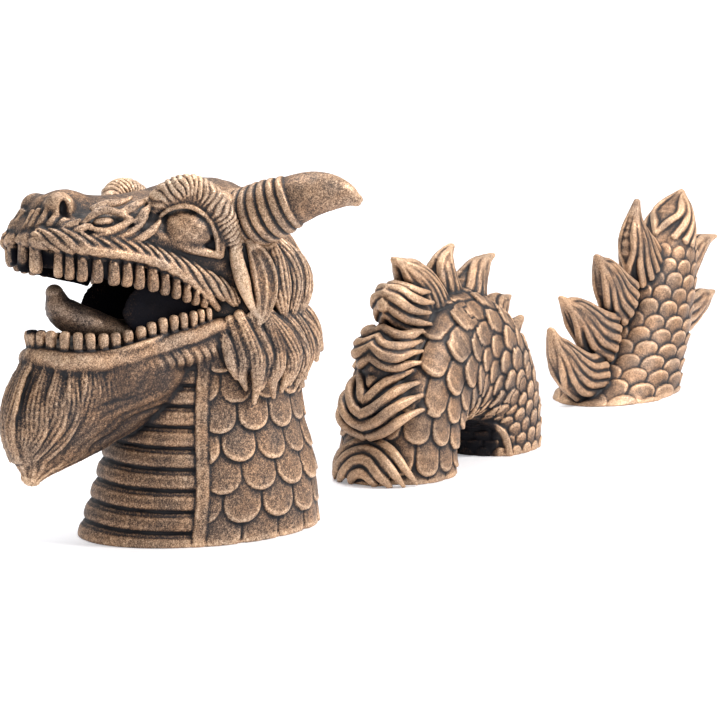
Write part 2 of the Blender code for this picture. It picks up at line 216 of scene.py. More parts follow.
class Stack:
    """Level sections from rows (z, centre x, half length in x, half width in y).

    relief(points, around) is extra height; around is the angle from the -x side.
    """

    def __init__(self, rows, power=2.0, relief=None):
        fine = spline(rows, 6 * (len(rows) - 1) + 1)
        fine = fine[np.argsort(fine[:, 0])]
        self.levels, self.centre, self.length, self.width = fine.T
        self.power, self.relief = power, relief
        reach = 5.0
        wide = self.width.max() + reach
        self.lo = np.array([(self.centre - self.length).min() - reach, -wide, fine[0, 0]])
        self.hi = np.array([(self.centre + self.length).max() + reach, wide, fine[-1, 0]])

    def __call__(self, points):
        x, y, z = points.T
        centre, length, width = (
            np.interp(z, self.levels, values).astype(f32)
            for values in (self.centre, self.length, self.width)
        )
        dist, ahead, aside = oval_distance(x - centre, y, 0.0, length, width, 1.0, self.power)
        if self.relief is not None:
            near = (dist < RELIEF_REACH) & (dist > -RELIEF_REACH)
            dist[near] -= self.relief(points[near], np.arctan2(np.abs(aside[near]), -ahead[near]))
        bottom, top = self.levels[0], self.levels[-1]
        return np.maximum(dist, np.maximum(bottom - z, z - top))


class Ball:
    """An ellipsoid; turn is in degrees about y."""

    def __init__(self, centre, radii, turn=None, relief=None):
        self.centre, self.radii, self.relief = np.array(centre, f32), np.array(radii, f32), relief
        self.turn, size = None, self.radii
        if turn is not None:
            self.turn = np.array(Matrix.Rotation(math.radians(turn), 3, Vector((0, 1, 0))), f32)
            size = self.radii.max()
        reach = 4.0
        self.lo, self.hi = self.centre - size - reach, self.centre + size + reach

    def __call__(self, points):
        away = points - self.centre
        if self.turn is not None:
            away = away @ self.turn
        share = away / self.radii
        level = np.linalg.norm(share, axis=1) + 1e-6
        dist = level * (level - 1) / (np.linalg.norm(share / self.radii, axis=1) + 1e-6)
        return dist if self.relief is None else dist - self.relief(away)


def off_plane(points):
    """Distance from the head's tilted middle plane, positive on the far side."""
    return (points - np.array((0, 0, TILT_AXIS_Z))) @ TILT_NORMAL


def reflect(points):
    return (points - 2 * off_plane(points)[:, None] * TILT_NORMAL).astype(f32)


class Other:
    """A shape's counterpart on the other side of the head."""

    def __init__(self, shape):
        self.shape = shape
        corners = reflect(np.array(list(product(*zip(shape.lo, shape.hi))), float))
        self.lo, self.hi = corners.min(0), corners.max(0)

    def __call__(self, points):
        return self.shape(reflect(points))


# ---------------------------------------------------------------- distance grid and mesh
class Volume:
    """A distance field on a grid; half keeps y < 0 only and is mirrored when it is meshed."""

    def __init__(self, lo, hi, step, half=False):
        self.step, self.half = step, half
        lo = [math.floor(v / step) * step + step / 2 for v in lo]
        hi = list(hi)
        if half:
            hi[1] = -step / 2
        self.lo = np.array(lo)
        self.axes = [
            (lo[k] + step * np.arange(int(round((hi[k] - lo[k]) / step)) + 1)).astype(f32)
            for k in range(3)
        ]
        self.dist = np.full([len(axis) for axis in self.axes], 30.0, f32)

    def block(self, shape, pad):
        """The slices and points of the grid that a shape can change."""
        slices = []
        for k, axis in enumerate(self.axes):
            ends = (shape.lo[k] - pad, shape.hi[k] + pad)
            start, end = (int(np.searchsorted(axis, v)) for v in ends)
            if end <= start:
                return None, None
            slices.append(slice(start, end))
        grids = np.meshgrid(*[self.axes[k][slices[k]] for k in range(3)], indexing="ij")
        return tuple(slices), np.stack([grid.ravel() for grid in grids], 1)

    def merge(self, shapes, blend, sign):
        """Adds shapes (sign 1) or cuts them (sign -1), rounding the joint over blend."""
        for shape in shapes:
            slices, points = self.block(shape, blend)
            if slices is None:
                continue
            old = self.dist[slices]
            new = (sign * shape(points)).astype(f32).reshape(old.shape)
            if blend > 0:
                part = np.clip(0.5 + sign * 0.5 * (old - new) / blend, 0, 1)
                joint = sign * blend * part * (1 - part)
                self.dist[slices] = old * (1 - part) + new * part - joint
            else:
                self.dist[slices] = (np.minimum if sign > 0 else np.maximum)(old, new)

    def add(self, *shapes, blend):
        self.merge(shapes, blend, 1)

    def cut(self, *shapes, blend):
        self.merge(shapes, blend, -1)

    def both(self, *shapes, blend):
        for shape in shapes:
            self.add(shape, Other(shape), blend=blend)

    def cut_both(self, *shapes, blend):
        for shape in shapes:
            self.cut(shape, Other(shape), blend=blend)

    def mesh(self, name, place, on_floor=True):
        """Meshes the surface, with attributes for how exposed it is at three scales."""
        step, dist = self.step, self.dist
        if self.half:
            dist = np.concatenate([dist, dist[:, ::-1]], 1)
        if on_floor:
            dist = np.maximum(dist, -self.axes[2])
        dist = np.clip(dist, -3 * step, 3 * step)
        for k in range(3):
            np.moveaxis(dist, k, 0)[[0, -1]] = 3 * step  # closes the grid's border
        grid = openvdb.FloatGrid(3.0 * step)
        grid.copyFromArray(np.ascontiguousarray(dist))
        points, quads = grid.convertToQuads(isovalue=0.0)
        points, quads = np.array(points, float) * step + self.lo, np.array(quads, np.int64)
        first, second, third, fourth = (points[quads[:, k]] for k in range(4))
        if (first * (np.cross(second, third) + np.cross(third, fourth))).sum() < 0:
            quads = quads[:, ::-1]  # faces outwards
        if on_floor:
            points[points[:, 2] < 0.45 * step, 2] = 0.0
        points, quads = largest(points, quads)
        obj = make(name, points, quads, place)
        solid = np.clip(0.5 - dist / (1.6 * step), 0, 1).astype(f32)
        for key, size in (("fine", 2.2), ("mid", 5.0), ("wide", 12.0)):
            reach = max(1, int(round(size / step)))
            soft = blurred(blurred(solid, max(1, reach // 2)), reach - reach // 2)
            put(obj, key, 0.5 - sample(soft, points, self.lo, step))
        return obj, points


def largest(points, quads):
    """Keeps the biggest connected piece of a mesh."""
    label = np.arange(len(points))
    ends = np.concatenate([quads[:, [0, 1]], quads[:, [1, 2]], quads[:, [2, 3]]])
    for _ in range(400):
        lowest = np.minimum(label[ends[:, 0]], label[ends[:, 1]])
        new = label.copy()
        np.minimum.at(new, ends[:, 0], lowest)
        np.minimum.at(new, ends[:, 1], lowest)
        new = new[new]
        new = new[new]
        if (new == label).all():
            break
        label = new
    keep = label == np.bincount(label).argmax()
    index = np.cumsum(keep) - 1
    return points[keep], index[quads[keep[quads[:, 0]]]]


def blurred(field, reach):
    width = 2 * reach + 1
    for k in range(3):
        pad = [(reach + 1, reach) if j == k else (0, 0) for j in range(3)]
        total = np.cumsum(np.pad(field, pad, mode="edge"), axis=k, dtype=f32)
        total = np.moveaxis(total, k, 0)
        field = np.moveaxis((total[width:] - total[:-width]) / width, 0, k)
    return field


def sample(field, points, lo, step):
    """The field at points, linear between grid nodes."""
    place = (points - lo) / step
    i = np.clip(np.floor(place).astype(int), 0, np.array(field.shape) - 2)
    part = np.clip(place - i, 0, 1)
    total = 0
    for corner in product((0, 1), repeat=3):
        weight = np.prod(np.where(corner, part, 1 - part), axis=1)
        total = total + weight * field[tuple((i + corner).T)]
    return total


def make(name, points, quads, place):
    world = np.c_[points * MM, np.ones(len(points))] @ np.array(place, float).T
    mesh = bpy.data.meshes.new(name)
    mesh.vertices.add(len(world))
    mesh.vertices.foreach_set("co", world[:, :3].astype(f32).ravel())
    mesh.loops.add(quads.size)
    mesh.loops.foreach_set("vertex_index", quads.astype(np.int32).ravel())
    mesh.polygons.add(len(quads))
    mesh.polygons.foreach_set("loop_start", np.arange(0, quads.size, 4, dtype=np.int32))
    mesh.polygons.foreach_set("loop_total", np.full(len(quads), 4, np.int32))
    mesh.update(calc_edges=True)
    mesh.validate()
    mesh.shade_smooth()
    obj = bpy.data.objects.new(name, mesh)
    bpy.context.scene.collection.objects.link(obj)
    obj["local"] = 1
    return obj


def put(obj, key, values):
    attribute = obj.data.attributes.new(key, "FLOAT", "POINT")
    attribute.data.foreach_set("value", np.full(len(obj.data.vertices), values, f32))


def put_finish(obj, points, painted_shade=0.0, soft=0.0, gold_and_shade=0.0):
    """Attributes for the material: painted shade in hollows, softer grain, and a brightness offset
    that is partly more or less gold and partly painted shade.
    """
    put(obj, "painted_shade", painted_shade)
    put(obj, "soft", soft)
    put(obj, "gold_and_shade", gold_and_shade)
    put(obj, "height", points[:, 2] / HEIGHT_UNIT)


# ---------------------------------------------------------------- surface patterns
def scales(down, across, spacing, width, tall, last=np.inf):
    """Roof-tile scales: heights, and where a scale was found.

    down runs to the free edge, rows are spacing apart and last is the highest row.
    """
    down = np.asarray(down, float)
    width = width + 0 * down
    half = width * 0.5
    out = np.zeros_like(down)
    done = np.zeros(len(down), bool)
    for step in (0, 1, 2):
        row = np.ceil(down / spacing) + step
        place = np.asarray(across, float) / width + np.where(row % 2 == 0, 0.0, 0.5)
        cell = np.floor(place)
        place = (place - cell - 0.5) * width
        tip = row * spacing
        wobble = 0.9 * np.sin(cell * 2.7 + row * 1.9)
        past = (down + wobble) - (tip - half)
        round_end = half - np.sqrt(past * past + place * place)
        edge = np.where(past > 0, round_end, half - np.abs(place))
        hit = (edge > 0) & ~done & (row <= last)
        inset = edge[hit]
        slope = 1 - (tip[hit] - down[hit]) / (spacing * 1.55)
        vary = 1 + 0.22 * np.sin(cell[hit] * 1.3 + row[hit] * 2.1)
        height = tall * vary * slope + 0.30 * tall * (1 - (place[hit] / half[hit]) ** 2)
        bevel = np.clip(inset / 2.2, 0, 1)
        rim = 0.15 * np.exp(-(((inset - 2.4) / 1.4) ** 2))
        out[hit] = height * (0.1 + 0.9 * np.sqrt(1 - (1 - bevel) ** 2)) + rim
        done |= hit
    return out, done


def ridges(phase, depth, sharp=0.6, level=0.6):
    """Rounded ridges with narrow grooves, one per unit of phase; level is the share sunk."""
    return depth * (np.abs(np.sin(np.pi * phase)) ** sharp - level)


def hairs(phase, depth, level=0.5):
    return ridges(phase, depth, sharp=0.8, level=level)


def strand(
    points, width, thickness, up=SIDEWAYS, grooves=2, depth=0.7, tip=1.6, blunt=False, phase=0.0
):
    """A tuft of hair along points, pointed at the end and, unless blunt, at the start."""
    rows = []
    for i, point in enumerate(points):
        part = i / (len(points) - 1)
        size = 1 - smooth(part, 0.55, 1.0) * 0.85
        if not blunt:
            size = size * (0.55 + 0.45 * smooth(part, 0, 0.35))
        rows.append((*point, max(width * size, tip), max(thickness * size, tip * 0.8)))
    start = phase + 0.37 * points[0][0] + 0.21 * points[0][2]

    def relief(skin):
        wave = 0.45 * np.sin(skin.run / 13.0 + start)
        coarse = ridges(grooves * skin.across * 0.5 + wave + start, depth)
        return coarse + hairs(grooves * 1.3 * skin.across + 2 * wave, 0.35 * depth)

    return Sweep(rows, up=up, per=3, relief=relief)


# ---------------------------------------------------------------- where the castings stand
mounts = {m["name"]: Vector(m["pos_m"]) for m in frame["record"]["mounts"]}


def standing(mount, offset, turn):
    """Matrix of a casting's frame; offset is the mount's place in that frame."""
    cos, sin = math.cos(math.radians(turn)), math.sin(math.radians(turn))
    x = mounts[mount].x - (cos * offset[0] - sin * offset[1]) * MM
    y = mounts[mount].y - (sin * offset[0] + cos * offset[1]) * MM
    return Matrix.Translation((x, y, 0)) @ Matrix.Rotation(math.radians(turn), 4, "Z")


HEAD_AT = standing("head_base", (0, -76), HEAD_TURN)
HUMP_AT = standing("hump_front_foot", (-82, -47), 0)
TAIL_AT = standing("tail_base", (0, -53), 0)

# ---------------------------------------------------------------- head: tables
NECK = [  # z, centre x, half length, half width
    (-14, 0, 118, 83.5), (0, 0, 117, 83), (50, 8, 107, 78), (100, 10, 94, 69),
    (150, 15, 86, 63), (200, 21, 76, 59), (240, 22, 62, 50),
]
NECK_CORE = [
    (-20, 0, 104, 69), (0, 0, 104, 69), (60, 7, 92, 60), (110, 9, 78, 50),
    (150, 14, 58, 38), (165, 14, 28, 18),
]
PLATE = 18.4  # height of a throat plate
NECK_SCALE = 26.7  # spacing of the rows of neck scales

# Middle shapes: x, z, half width, half thickness
SKULL = lean([
    (-168, 284, 34, 12), (-148, 285, 43, 17), (-120, 281, 49, 22), (-85, 275, 53, 31),
    (-50, 268, 58, 42), (-10, 259, 62, 52), (25, 250, 62, 57), (46, 240, 54, 50),
])
CROWN = lean([(-60, 292, 30, 14), (-20, 300, 40, 18), (20, 298, 44, 22), (46, 280, 40, 28)])
NOSE = lean([(-146, 296, 24, 20), (-131, 298, 24, 21), (-116, 294, 22, 18)])
BRIDGE = lean([(-116, 296, 22, 14), (-96, 298, 20, 13), (-76, 298, 20, 12), (-56, 298, 24, 12)])
JAW = lean([
    (-142, 170, 24, 8), (-124, 166, 40, 13), (-95, 168, 50, 18), (-60, 174, 55, 22),
    (-25, 180, 59, 26), (20, 190, 60, 40),
])
BEARD = lean([
    (-90, 182, 84, 56), (-104, 166, 77, 52), (-120, 149, 67, 45), (-138, 131, 56, 38),
    (-154, 114, 46, 30), (-168, 97, 34, 21), (-178, 82, 22, 13), (-185, 68, 9, 6),
])
NAPE = lean([(50, 240, 36, 38), (62, 205, 30, 38), (72, 175, 24, 32), (82, 152, 12, 16)])
GAPE = lean([
    (-215, 228, 90, 46), (-190, 228, 90, 44), (-160, 226, 90, 42), (-129, 221, 90, 40),
    (-105, 221, 90, 37), (-81, 220, 90, 31), (-62, 219, 90, 25), (-42, 214, 90, 17),
    (-27, 211, 90, 10), (-20, 210, 90, 5),
])
THROAT = lean([
    (-170, 232, 24, 36), (-145, 228, 36, 43), (-110, 225, 41, 45), (-70, 218, 43, 42),
    (-30, 208, 38, 32), (5, 196, 28, 22), (28, 186, 16, 14),
])
TONGUE = lean([
    (-148, 228, 13, 8), (-143, 214, 23, 13), (-129, 204, 28, 15), (-108, 198, 29, 12),
    (-85, 192, 28, 8), (-55, 190, 26, 8), (-25, 188, 22, 8), (0, 184, 16, 8),
])

# Near-side shapes: x, y, z, half width, half thickness; the far side is their reflection
HORN = [  # round
    (25, -43, 287, 27), (32, -56, 292, 27.5), (40, -68, 298, 25.5), (51, -80, 305, 23.5),
    (62, -89, 310.5, 21.8), (73, -96, 312.5, 19.5), (84, -102, 312.5, 16),
    (93, -107, 310.5, 11.5), (101, -110, 306.5, 6.5),
]
LOWER_SIDE = [
    (10, -50, 215, 22, 14), (26, -56, 190, 22, 12), (44, -56, 165, 18, 9), (56, -54, 148, 8, 5),
]
TEMPLE = [  # from behind the eye up to the horn's root
    (2, -40, 300, 14, 16), (14, -46, 284, 20, 16), (26, -46, 262, 24, 18), (34, -46, 240, 22, 18),
]
LIP = [
    (0, -62, 199, 7, 6), (-10, -62, 197, 8, 7), (-23, -61, 194, 8, 8), (-42, -60, 189, 8, 8),
    (-66, -58, 184, 8, 8), (-92, -56, 178, 8, 8), (-116, -54, 174, 8, 8), (-140, -50, 173, 8, 8),
    (-157, -40, 174, 8, 8), (-167, -25, 175, 8, 8), (-170, -9, 175, 8, 8),
]
UPPER_LIP = [
    (-14, -62, 210, 4, 4), (-22, -63, 219, 5, 5), (-33, -63, 230, 6, 5),
    (-54, -62, 246, 6.5, 6), (-78, -60, 257, 6.5, 6), (-102, -58, 264, 6.5, 6),
    (-130, -55, 269, 6.5, 6), (-152, -48, 274, 7, 6), (-167, -37, 277, 7, 6),
    (-177, -22, 278, 7, 6), (-181, -4, 278, 7, 6),
]
MOUTH_CORNER = [
    (-93, -46, 204, 3, 15), (-80, -47, 213, 3, 23), (-64, -48, 217, 3, 27),
    (-48, -48, 216, 3, 24), (-30, -49, 211, 3, 14), (-16, -49, 209, 3, 8),
]
UPPER_GUM = [
    (-174, 3, 265, 3, 9), (-173, -6, 265, 3, 9), (-169, -20, 264, 3, 9), (-157, -32, 262, 3, 9),
    (-149, -36, 260, 3, 9.5), (-139, -40, 258, 3, 10), (-126, -43, 255, 3, 10),
    (-113, -46, 252, 3, 10), (-100, -47, 249, 3, 10), (-88, -47, 245, 3, 10),
]
# Teeth: x, y, tip z, gum z, half width
UPPER_TEETH = [
    (-181, -7.5, 251, 272, 6.2), (-177, -23, 251, 272, 6.0), (-162, -38, 248, 270, 4.3),
    (-154, -42, 246, 269, 4.6), (-143.5, -46, 244, 267, 5.0), (-129.5, -49, 242, 264, 5.2),
    (-115.5, -52, 239, 260, 5.2), (-102.5, -53, 237, 259, 5.0), (-90.5, -54, 234, 256, 4.7),
    (-77.5, -55, 231, 252, 4.8), (-65.5, -56, 227, 246, 4.3), (-55, -57, 223, 240, 4.0),
    (-45, -58, 219, 234, 3.8), (-36, -59, 216, 228, 3.4), (-28, -59, 213, 223, 3.0),
]
LOWER_TEETH = [
    (-172, -6, 197.5, 181, 4.6), (-169.5, -17, 198.5, 181, 4.5), (-165, -28, 199, 181, 4.5),
    (-157.5, -38.5, 199, 181, 4.6), (-148, -45, 198, 180, 4.5), (-137, -48, 197, 179, 4.6),
    (-125.5, -50, 196, 179, 4.6), (-114, -52, 196, 180, 4.6), (-102, -53, 197.5, 182, 4.6),
    (-90, -54, 200, 184, 4.5), (-79, -55, 203, 186, 4.3), (-68.5, -56, 206, 188, 4.2),
    (-58, -57, 207.5, 191, 4.0), (-48, -58, 209, 194, 3.8), (-39, -59, 210, 196, 3.5),
    (-31, -59, 211, 198, 3.2), (-23.5, -60, 212, 200, 3.0),
]
BROW = [
    (-68, -33, 298, 6, 6), (-63, -37, 307, 9, 8), (-55, -43, 315, 10.5, 9.5),
    (-44, -48, 319.5, 11.5, 10), (-32, -52, 319, 11.5, 10), (-21, -56, 312, 11.5, 10),
    (-12, -60, 300, 11.5, 9), (-5, -63, 286, 10, 8), (0, -65, 272, 7.5, 6.5), (3, -66, 260, 4, 4),
]
UPPER_LID = [
    (-71, -38, 293, 2.5, 2.5), (-64, -42, 303, 4, 3.5), (-53, -48, 309, 4.6, 4),
    (-41, -53, 310, 4.8, 4), (-29, -57, 305, 4.8, 4), (-20, -60, 295, 4.6, 4),
    (-14, -62, 282, 4.4, 3.8), (-11, -63, 269, 4, 3.4), (-13, -63, 259, 2.6, 2.6),
]
INNER_LID = [  # round
    (-66, -42, 292, 1.6), (-58, -49, 301, 2), (-47, -55, 304.5, 2.2), (-36, -59, 302, 2.2),
    (-26, -62, 294, 2.2), (-20, -64, 283, 2.2), (-17, -65, 271, 2), (-17, -65, 263, 1.5),
]
LOWER_LID = [
    (-86, -44, 291, 2, 2), (-76, -46, 285, 4, 3.5), (-66, -50, 278, 4.6, 4),
    (-54, -54, 272, 4.4, 4), (-42, -58, 267, 4, 3.6), (-28, -61, 263, 4, 3.4),
    (-17, -63, 260, 3, 3), (-12, -63, 259, 2, 2),
]
RECESS_RIM_TOP = [
    (-139, -39, 293, 1.5, 1.5), (-130, -40, 300, 3, 3), (-117, -40, 304, 3.6, 3.4),
    (-104, -43, 301, 3, 3), (-94, -46, 295, 1.6, 1.6),
]
RECESS_RIM_BOTTOM = [
    (-137, -43, 291, 1.5, 1.5), (-128, -46, 288, 2.6, 2.6), (-117, -47, 287, 3, 3),
    (-105, -47, 290, 3, 3), (-94, -46, 296, 1.6, 1.6),
]
SNOUT_CURLS = [  # x, y, z, sweep in x, rise, half width
    (-174, -3, 286, 6, 16, 3.6), (-173, -10, 287, 7, 17, 3.4), (-170, -17, 288, 8, 15, 3.6),
    (-165, -24, 288, 9, 13, 3.4), (-158, -30, 288, 9, 11, 3.2),
]
MUZZLE_BAND = [  # twisted band of hair above the lip
    (-176, -24, 282, 7, 5), (-166, -36, 281, 9, 6), (-150, -44, 278, 10, 6),
    (-132, -47, 273, 10, 6), (-112, -50, 269, 10, 6), (-92, -52, 266, 9.5, 6),
    (-74, -54, 260, 9, 6), (-58, -56, 253, 9, 6), (-44, -58, 246, 9, 5.5),
    (-31, -60, 239, 9, 5), (-18, -62, 232, 9, 4.5), (-6, -64, 224, 7, 4), (2, -65, 216, 4, 3),
]
EAR = [
    (16, -65, 270, 4, 4), (23, -69, 256, 10, 6), (27, -72, 240, 13, 7), (27, -75, 224, 12, 7),
    (24, -77, 210, 8, 6), (19, -79, 198, 3, 3),
]
CHEEK_HAIR = [  # points, half width
    ([(-163, -34, 286), (-152, -38, 292), (-142, -40, 297)], 3.6),
    ([(-156, -40, 283), (-144, -43, 289), (-133, -44, 292)], 3.4),
    ([(-140, -46, 280), (-124, -48, 284), (-108, -48, 287), (-94, -47, 294)], 3.4),
    ([(-122, -49, 278), (-106, -50, 281), (-90, -49, 287), (-78, -46, 296)], 3.6),
    ([(-104, -51, 275), (-90, -52, 278), (-76, -51, 284), (-66, -48, 292)], 3.6),
    ([(-90, -46, 292), (-80, -44, 299), (-71, -40, 305)], 4.0),
    ([(-104, -42, 300), (-92, -41, 304), (-80, -38, 308), (-70, -34, 310)], 3.8),
    ([(-128, -36, 306), (-112, -35, 309), (-98, -34, 309), (-84, -30, 312)], 3.6),
]
BEARD_LOCKS = [  # half width, half thickness, outward direction, points
    (6.5, 5, (-0.7, -0.6, 0.2),
     [(-176, -20, 172), (-190, -18, 147), (-198, -22, 128), (-202, -26, 106), (-197, -25, 86)]),
    (6, 5, (-0.65, -0.7, 0.2),
     [(-173, -27, 171), (-185, -27, 147), (-193, -30, 129), (-196, -33, 109), (-196, -29, 90),
      (-194, -23, 80)]),
    (6, 5, (-0.9, -0.35, 0.2),
     [(-177, -12, 172), (-193, -12, 147), (-201, -16, 126), (-204, -19, 105), (-199, -18, 84)]),
    (6.5, 5, (-0.6, -0.8, 0.2),
     [(-169, -34, 170), (-180, -35, 147), (-186, -38, 130), (-187, -40, 112), (-193, -33, 94),
      (-192, -24, 78)]),
    (7, 5, (-0.4, -0.9, 0),
     [(-162, -42, 168), (-170, -45, 143), (-171, -47, 123), (-180, -41, 106), (-190, -32, 88),
      (-189, -22, 74)]),
    (7.5, 5, (-0.2, -1, 0),
     [(-152, -48, 169), (-156, -51, 142), (-160, -48, 123), (-171, -41, 101), (-182, -32, 86),
      (-187, -20, 74)]),
    (7.5, 4.5, (0, -1, -0.2),
     [(-142, -53, 170), (-140, -54, 147), (-144, -48, 123), (-156, -39, 103), (-171, -29, 88)]),
    (7, 4.5, (0.1, -0.9, -0.3),
     [(-132, -55, 170), (-127, -54, 147), (-128, -46, 126), (-138, -36, 108), (-152, -27, 96)]),
    (7, 4.5, (0.2, -0.9, -0.4),
     [(-121, -57, 170), (-115, -54, 148), (-113, -44, 131), (-122, -33, 115)]),
    (6.5, 4.5, (0.2, -0.9, -0.4),
     [(-111, -58, 172), (-105, -54, 152), (-99, -43, 136), (-106, -31, 122)]),
    (6.5, 4.5, (0.2, -0.9, -0.4),
     [(-99, -59, 174), (-94, -55, 157), (-87, -43, 141), (-92, -33, 131)]),
    (6.5, 5, (-1, -0.1, 0.2),
     [(-178, -4, 172), (-194, -6, 147), (-202, -10, 124), (-204, -12, 104), (-199, -12, 84)]),
]
LOCKS = [  # points, half width, half thickness, grooves, groove depth; first the one by the eye
    ([(0, -65, 272), (1, -68, 256), (5, -71, 237), (10, -74, 218), (18, -77, 202)], 6.5, 6, 2, 0.5),
    ([(38, -58, 270), (44, -65, 250), (47, -68, 228), (49, -68, 208), (52, -64, 192)],
     9.5, 7, 3, 1.2),
    ([(46, -54, 270), (57, -59, 252), (63, -61, 230), (63, -61, 208), (59, -60, 191)],
     10.5, 8, 3, 1.3),
    ([(52, -48, 268), (68, -51, 250), (77, -52, 230), (78, -51, 211), (72, -53, 195)],
     10.5, 8, 3, 1.3),
    ([(56, -38, 268), (76, -41, 248), (87, -41, 228), (90, -40, 212), (85, -43, 198)],
     10, 8, 3, 1.2),
    ([(44, -24, 284), (70, -22, 264), (88, -20, 238), (94, -20, 214), (88, -26, 197)],
     13, 10, 4, 1.4),
    ([(36, -4, 290), (68, -2, 268), (90, 0, 240), (97, -2, 212), (92, -8, 195)], 14, 11, 4, 1.4),
    ([(24, -76, 206), (33, -73, 188), (40, -72, 172), (38, -75, 156), (34, -75, 142),
      (38, -70, 127)], 8.5, 6.5, 3, 0.7),
    ([(2, -70, 206), (8, -74, 186), (16, -77, 165), (18, -76, 146), (16, -72, 124)],
     8.5, 6.5, 3, 0.8),
    ([(12, -73, 204), (20, -75, 186), (27, -76, 168), (27, -75, 152), (24, -73, 137)],
     6, 5.5, 2, 0.7),
    ([(-6, -67, 202), (0, -71, 185), (5, -74, 166), (4, -71, 151), (9, -70, 137)], 7, 5.5, 3, 0.8),
    ([(-14, -64, 196), (-9, -69, 178), (-6, -71, 162), (-1, -70, 148)], 6.5, 5, 3, 0.7),
    ([(24, -74, 206), (44, -71, 184), (55, -70, 164), (56, -67, 148), (48, -67, 131)],
     10, 6.5, 4, 1.0),
    ([(36, -67, 204), (52, -69, 184), (62, -67, 166), (66, -62, 150), (61, -60, 135)],
     7, 6, 3, 0.9),
    ([(46, -63, 204), (62, -64, 183), (74, -58, 162), (76, -53, 145), (70, -53, 129)],
     9.5, 6.5, 3, 1.0),
    ([(58, -57, 204), (77, -52, 182), (86, -48, 163), (84, -46, 145), (80, -44, 126)],
     9.5, 7, 3, 1.0),
    ([(64, -48, 206), (86, -45, 184), (98, -41, 166), (105, -37, 150)], 9, 7, 3, 0.9),
    ([(66, -40, 206), (88, -34, 186), (96, -33, 166), (92, -35, 148), (94, -34, 134)],
     9, 7, 3, 1.0),
    ([(68, -26, 208), (92, -22, 188), (106, -18, 170), (117, -15, 154)], 11, 8, 4, 1.1),
    ([(70, -14, 206), (92, -12, 184), (100, -12, 164), (96, -14, 146)], 11, 8, 4, 1.1),
    ([(72, 0, 208), (98, 0, 190), (112, -2, 172), (121, -3, 154)], 12, 9, 4, 1.1),
    ([(2, -58, 300), (10, -60, 290), (16, -62, 276), (20, -63, 262)], 5, 4, 2, 0.6),
]


# ---------------------------------------------------------------- head: reliefs
def neck_relief(points, around):
    """Plates at the throat, scales at the sides and nape, and a rib between them."""
    _, y, z = points.T
    angle = np.degrees(around)  # 0 at the throat, 180 at the nape
    rib_angle = 67.2 - 0.041 * z
    count = 5.5  # scales from the rib to the nape
    width = np.interp(z, [0, 150], [203, 160]) / count
    across = (angle - rib_angle) / (180 - rib_angle) * width * count
    down = -z + 18 + NECK_SCALE * 36
    scale = scales(down, across - width * 0.5, NECK_SCALE, width, tall=4.0)[0] - 1.6
    rise = (z + 3.0 + 0.05 * np.abs(y)) / PLATE
    rise = rise - np.floor(rise)
    plate = 4.8 * (1 - np.abs(2 * rise - 1) ** 3.0) ** 0.8 - 3.0
    plate = plate - 1.1 * np.exp(-(((rise - 0.80) * PLATE) / 0.9) ** 2)
    side = (angle - rib_angle) * np.pi / 180 * np.interp(z, [0, 150], [92, 70])
    rib = 2.9 * (1 - np.clip(np.abs(side) / 6.0, 0, 1) ** 4)
    share = np.where(side < 0, smooth(-side, 4.8, 6.8), smooth(side, 4.8, 6.4))
    return share * np.where(side < 0, plate, scale) + (1 - share) * rib


def skull_relief(skin):
    """Fur on the sides of the snout and a fine unevenness all over."""
    x, y, z = skin.points.T
    phase = (z * 0.85 + x * 0.6 * 0.55 + 2.2 * np.sin(x / 13.0 + z / 21.0)) / 6.5
    fur = ridges(phase, 1.0, sharp=0.7, level=0.55)
    side, snout = smooth(np.abs(skin.across), 0.25, 0.7), smooth(-x, 20, 60)
    uneven = 0.35 * np.sin(x / 3.1 + 2 * np.sin(z / 7)) * np.sin(z / 2.9 + y / 4.0)
    return fur * side * snout + uneven


def jaw_relief(skin):
    x, _, z = skin.points.T
    phase = (0.8 * x + 0.45 * z + 4.5 * np.sin(z / 15.0) + 2.0 * np.sin(x / 23.0)) / 7.5
    return (ridges(phase, 1.5) + hairs(2.3 * phase, 0.6)) * smooth(180 - z, -2, 5)


def beard_relief(skin):
    run, angle = skin.run, skin.angle
    wave = 0.35 * np.sin(run / 21.0 + 2 * angle) + 0.12 * np.sin(run / 8.0 + 5 * angle)
    coarse = ridges(angle * 9 / (2 * np.pi) + wave, 1.7)
    return smooth(run, 0, 30) * (
        coarse + hairs(angle * 26 / (2 * np.pi) + 1.7 * wave, 0.7, level=0.55)
    )


def horn_relief(skin):
    """Rings round the root, and a smooth twisted tip."""
    run, angle = skin.run, skin.angle
    ring = (run - 2) / 8.4
    ring = ring - np.floor(ring)
    root = 1 - smooth(run, 49, 52)
    wander = 1 + 0.25 * np.sin(angle * 2 + run / 7.0)
    twist = 0.5 * np.sin(angle * 3 + run / 9.0) * smooth(run, 55, 70)
    bulge = np.clip(1 - np.abs(2 * ring - 1) ** 2.4, 0, 1) ** 0.7
    return root * (2.9 * wander * bulge - 1.2) - (1 - root) * 0.6 + twist


def tongue_relief(skin):
    groove = np.exp(-((skin.across / 0.16) ** 2))
    groove = groove * smooth(skin.over, 0.1, 0.5) * smooth(skin.run, 18, 40)
    x, y, _ = skin.points.T
    return -1.6 * groove + 0.25 * np.sin(x / 4.0 + 2 * np.sin(y / 6.0))


def band_relief(skin):
    """Crescents that cross the band at a low angle, each with finer hairs on it."""
    phase = skin.run / 12.5 - 1.15 * skin.across + 0.25 * np.sin(skin.run / 17.0)
    phase = phase + 0.10 * np.sin(4 * skin.across)
    return ridges(phase, 3.0, sharp=0.55) + hairs(2.6 * phase + 0.4, 0.7)


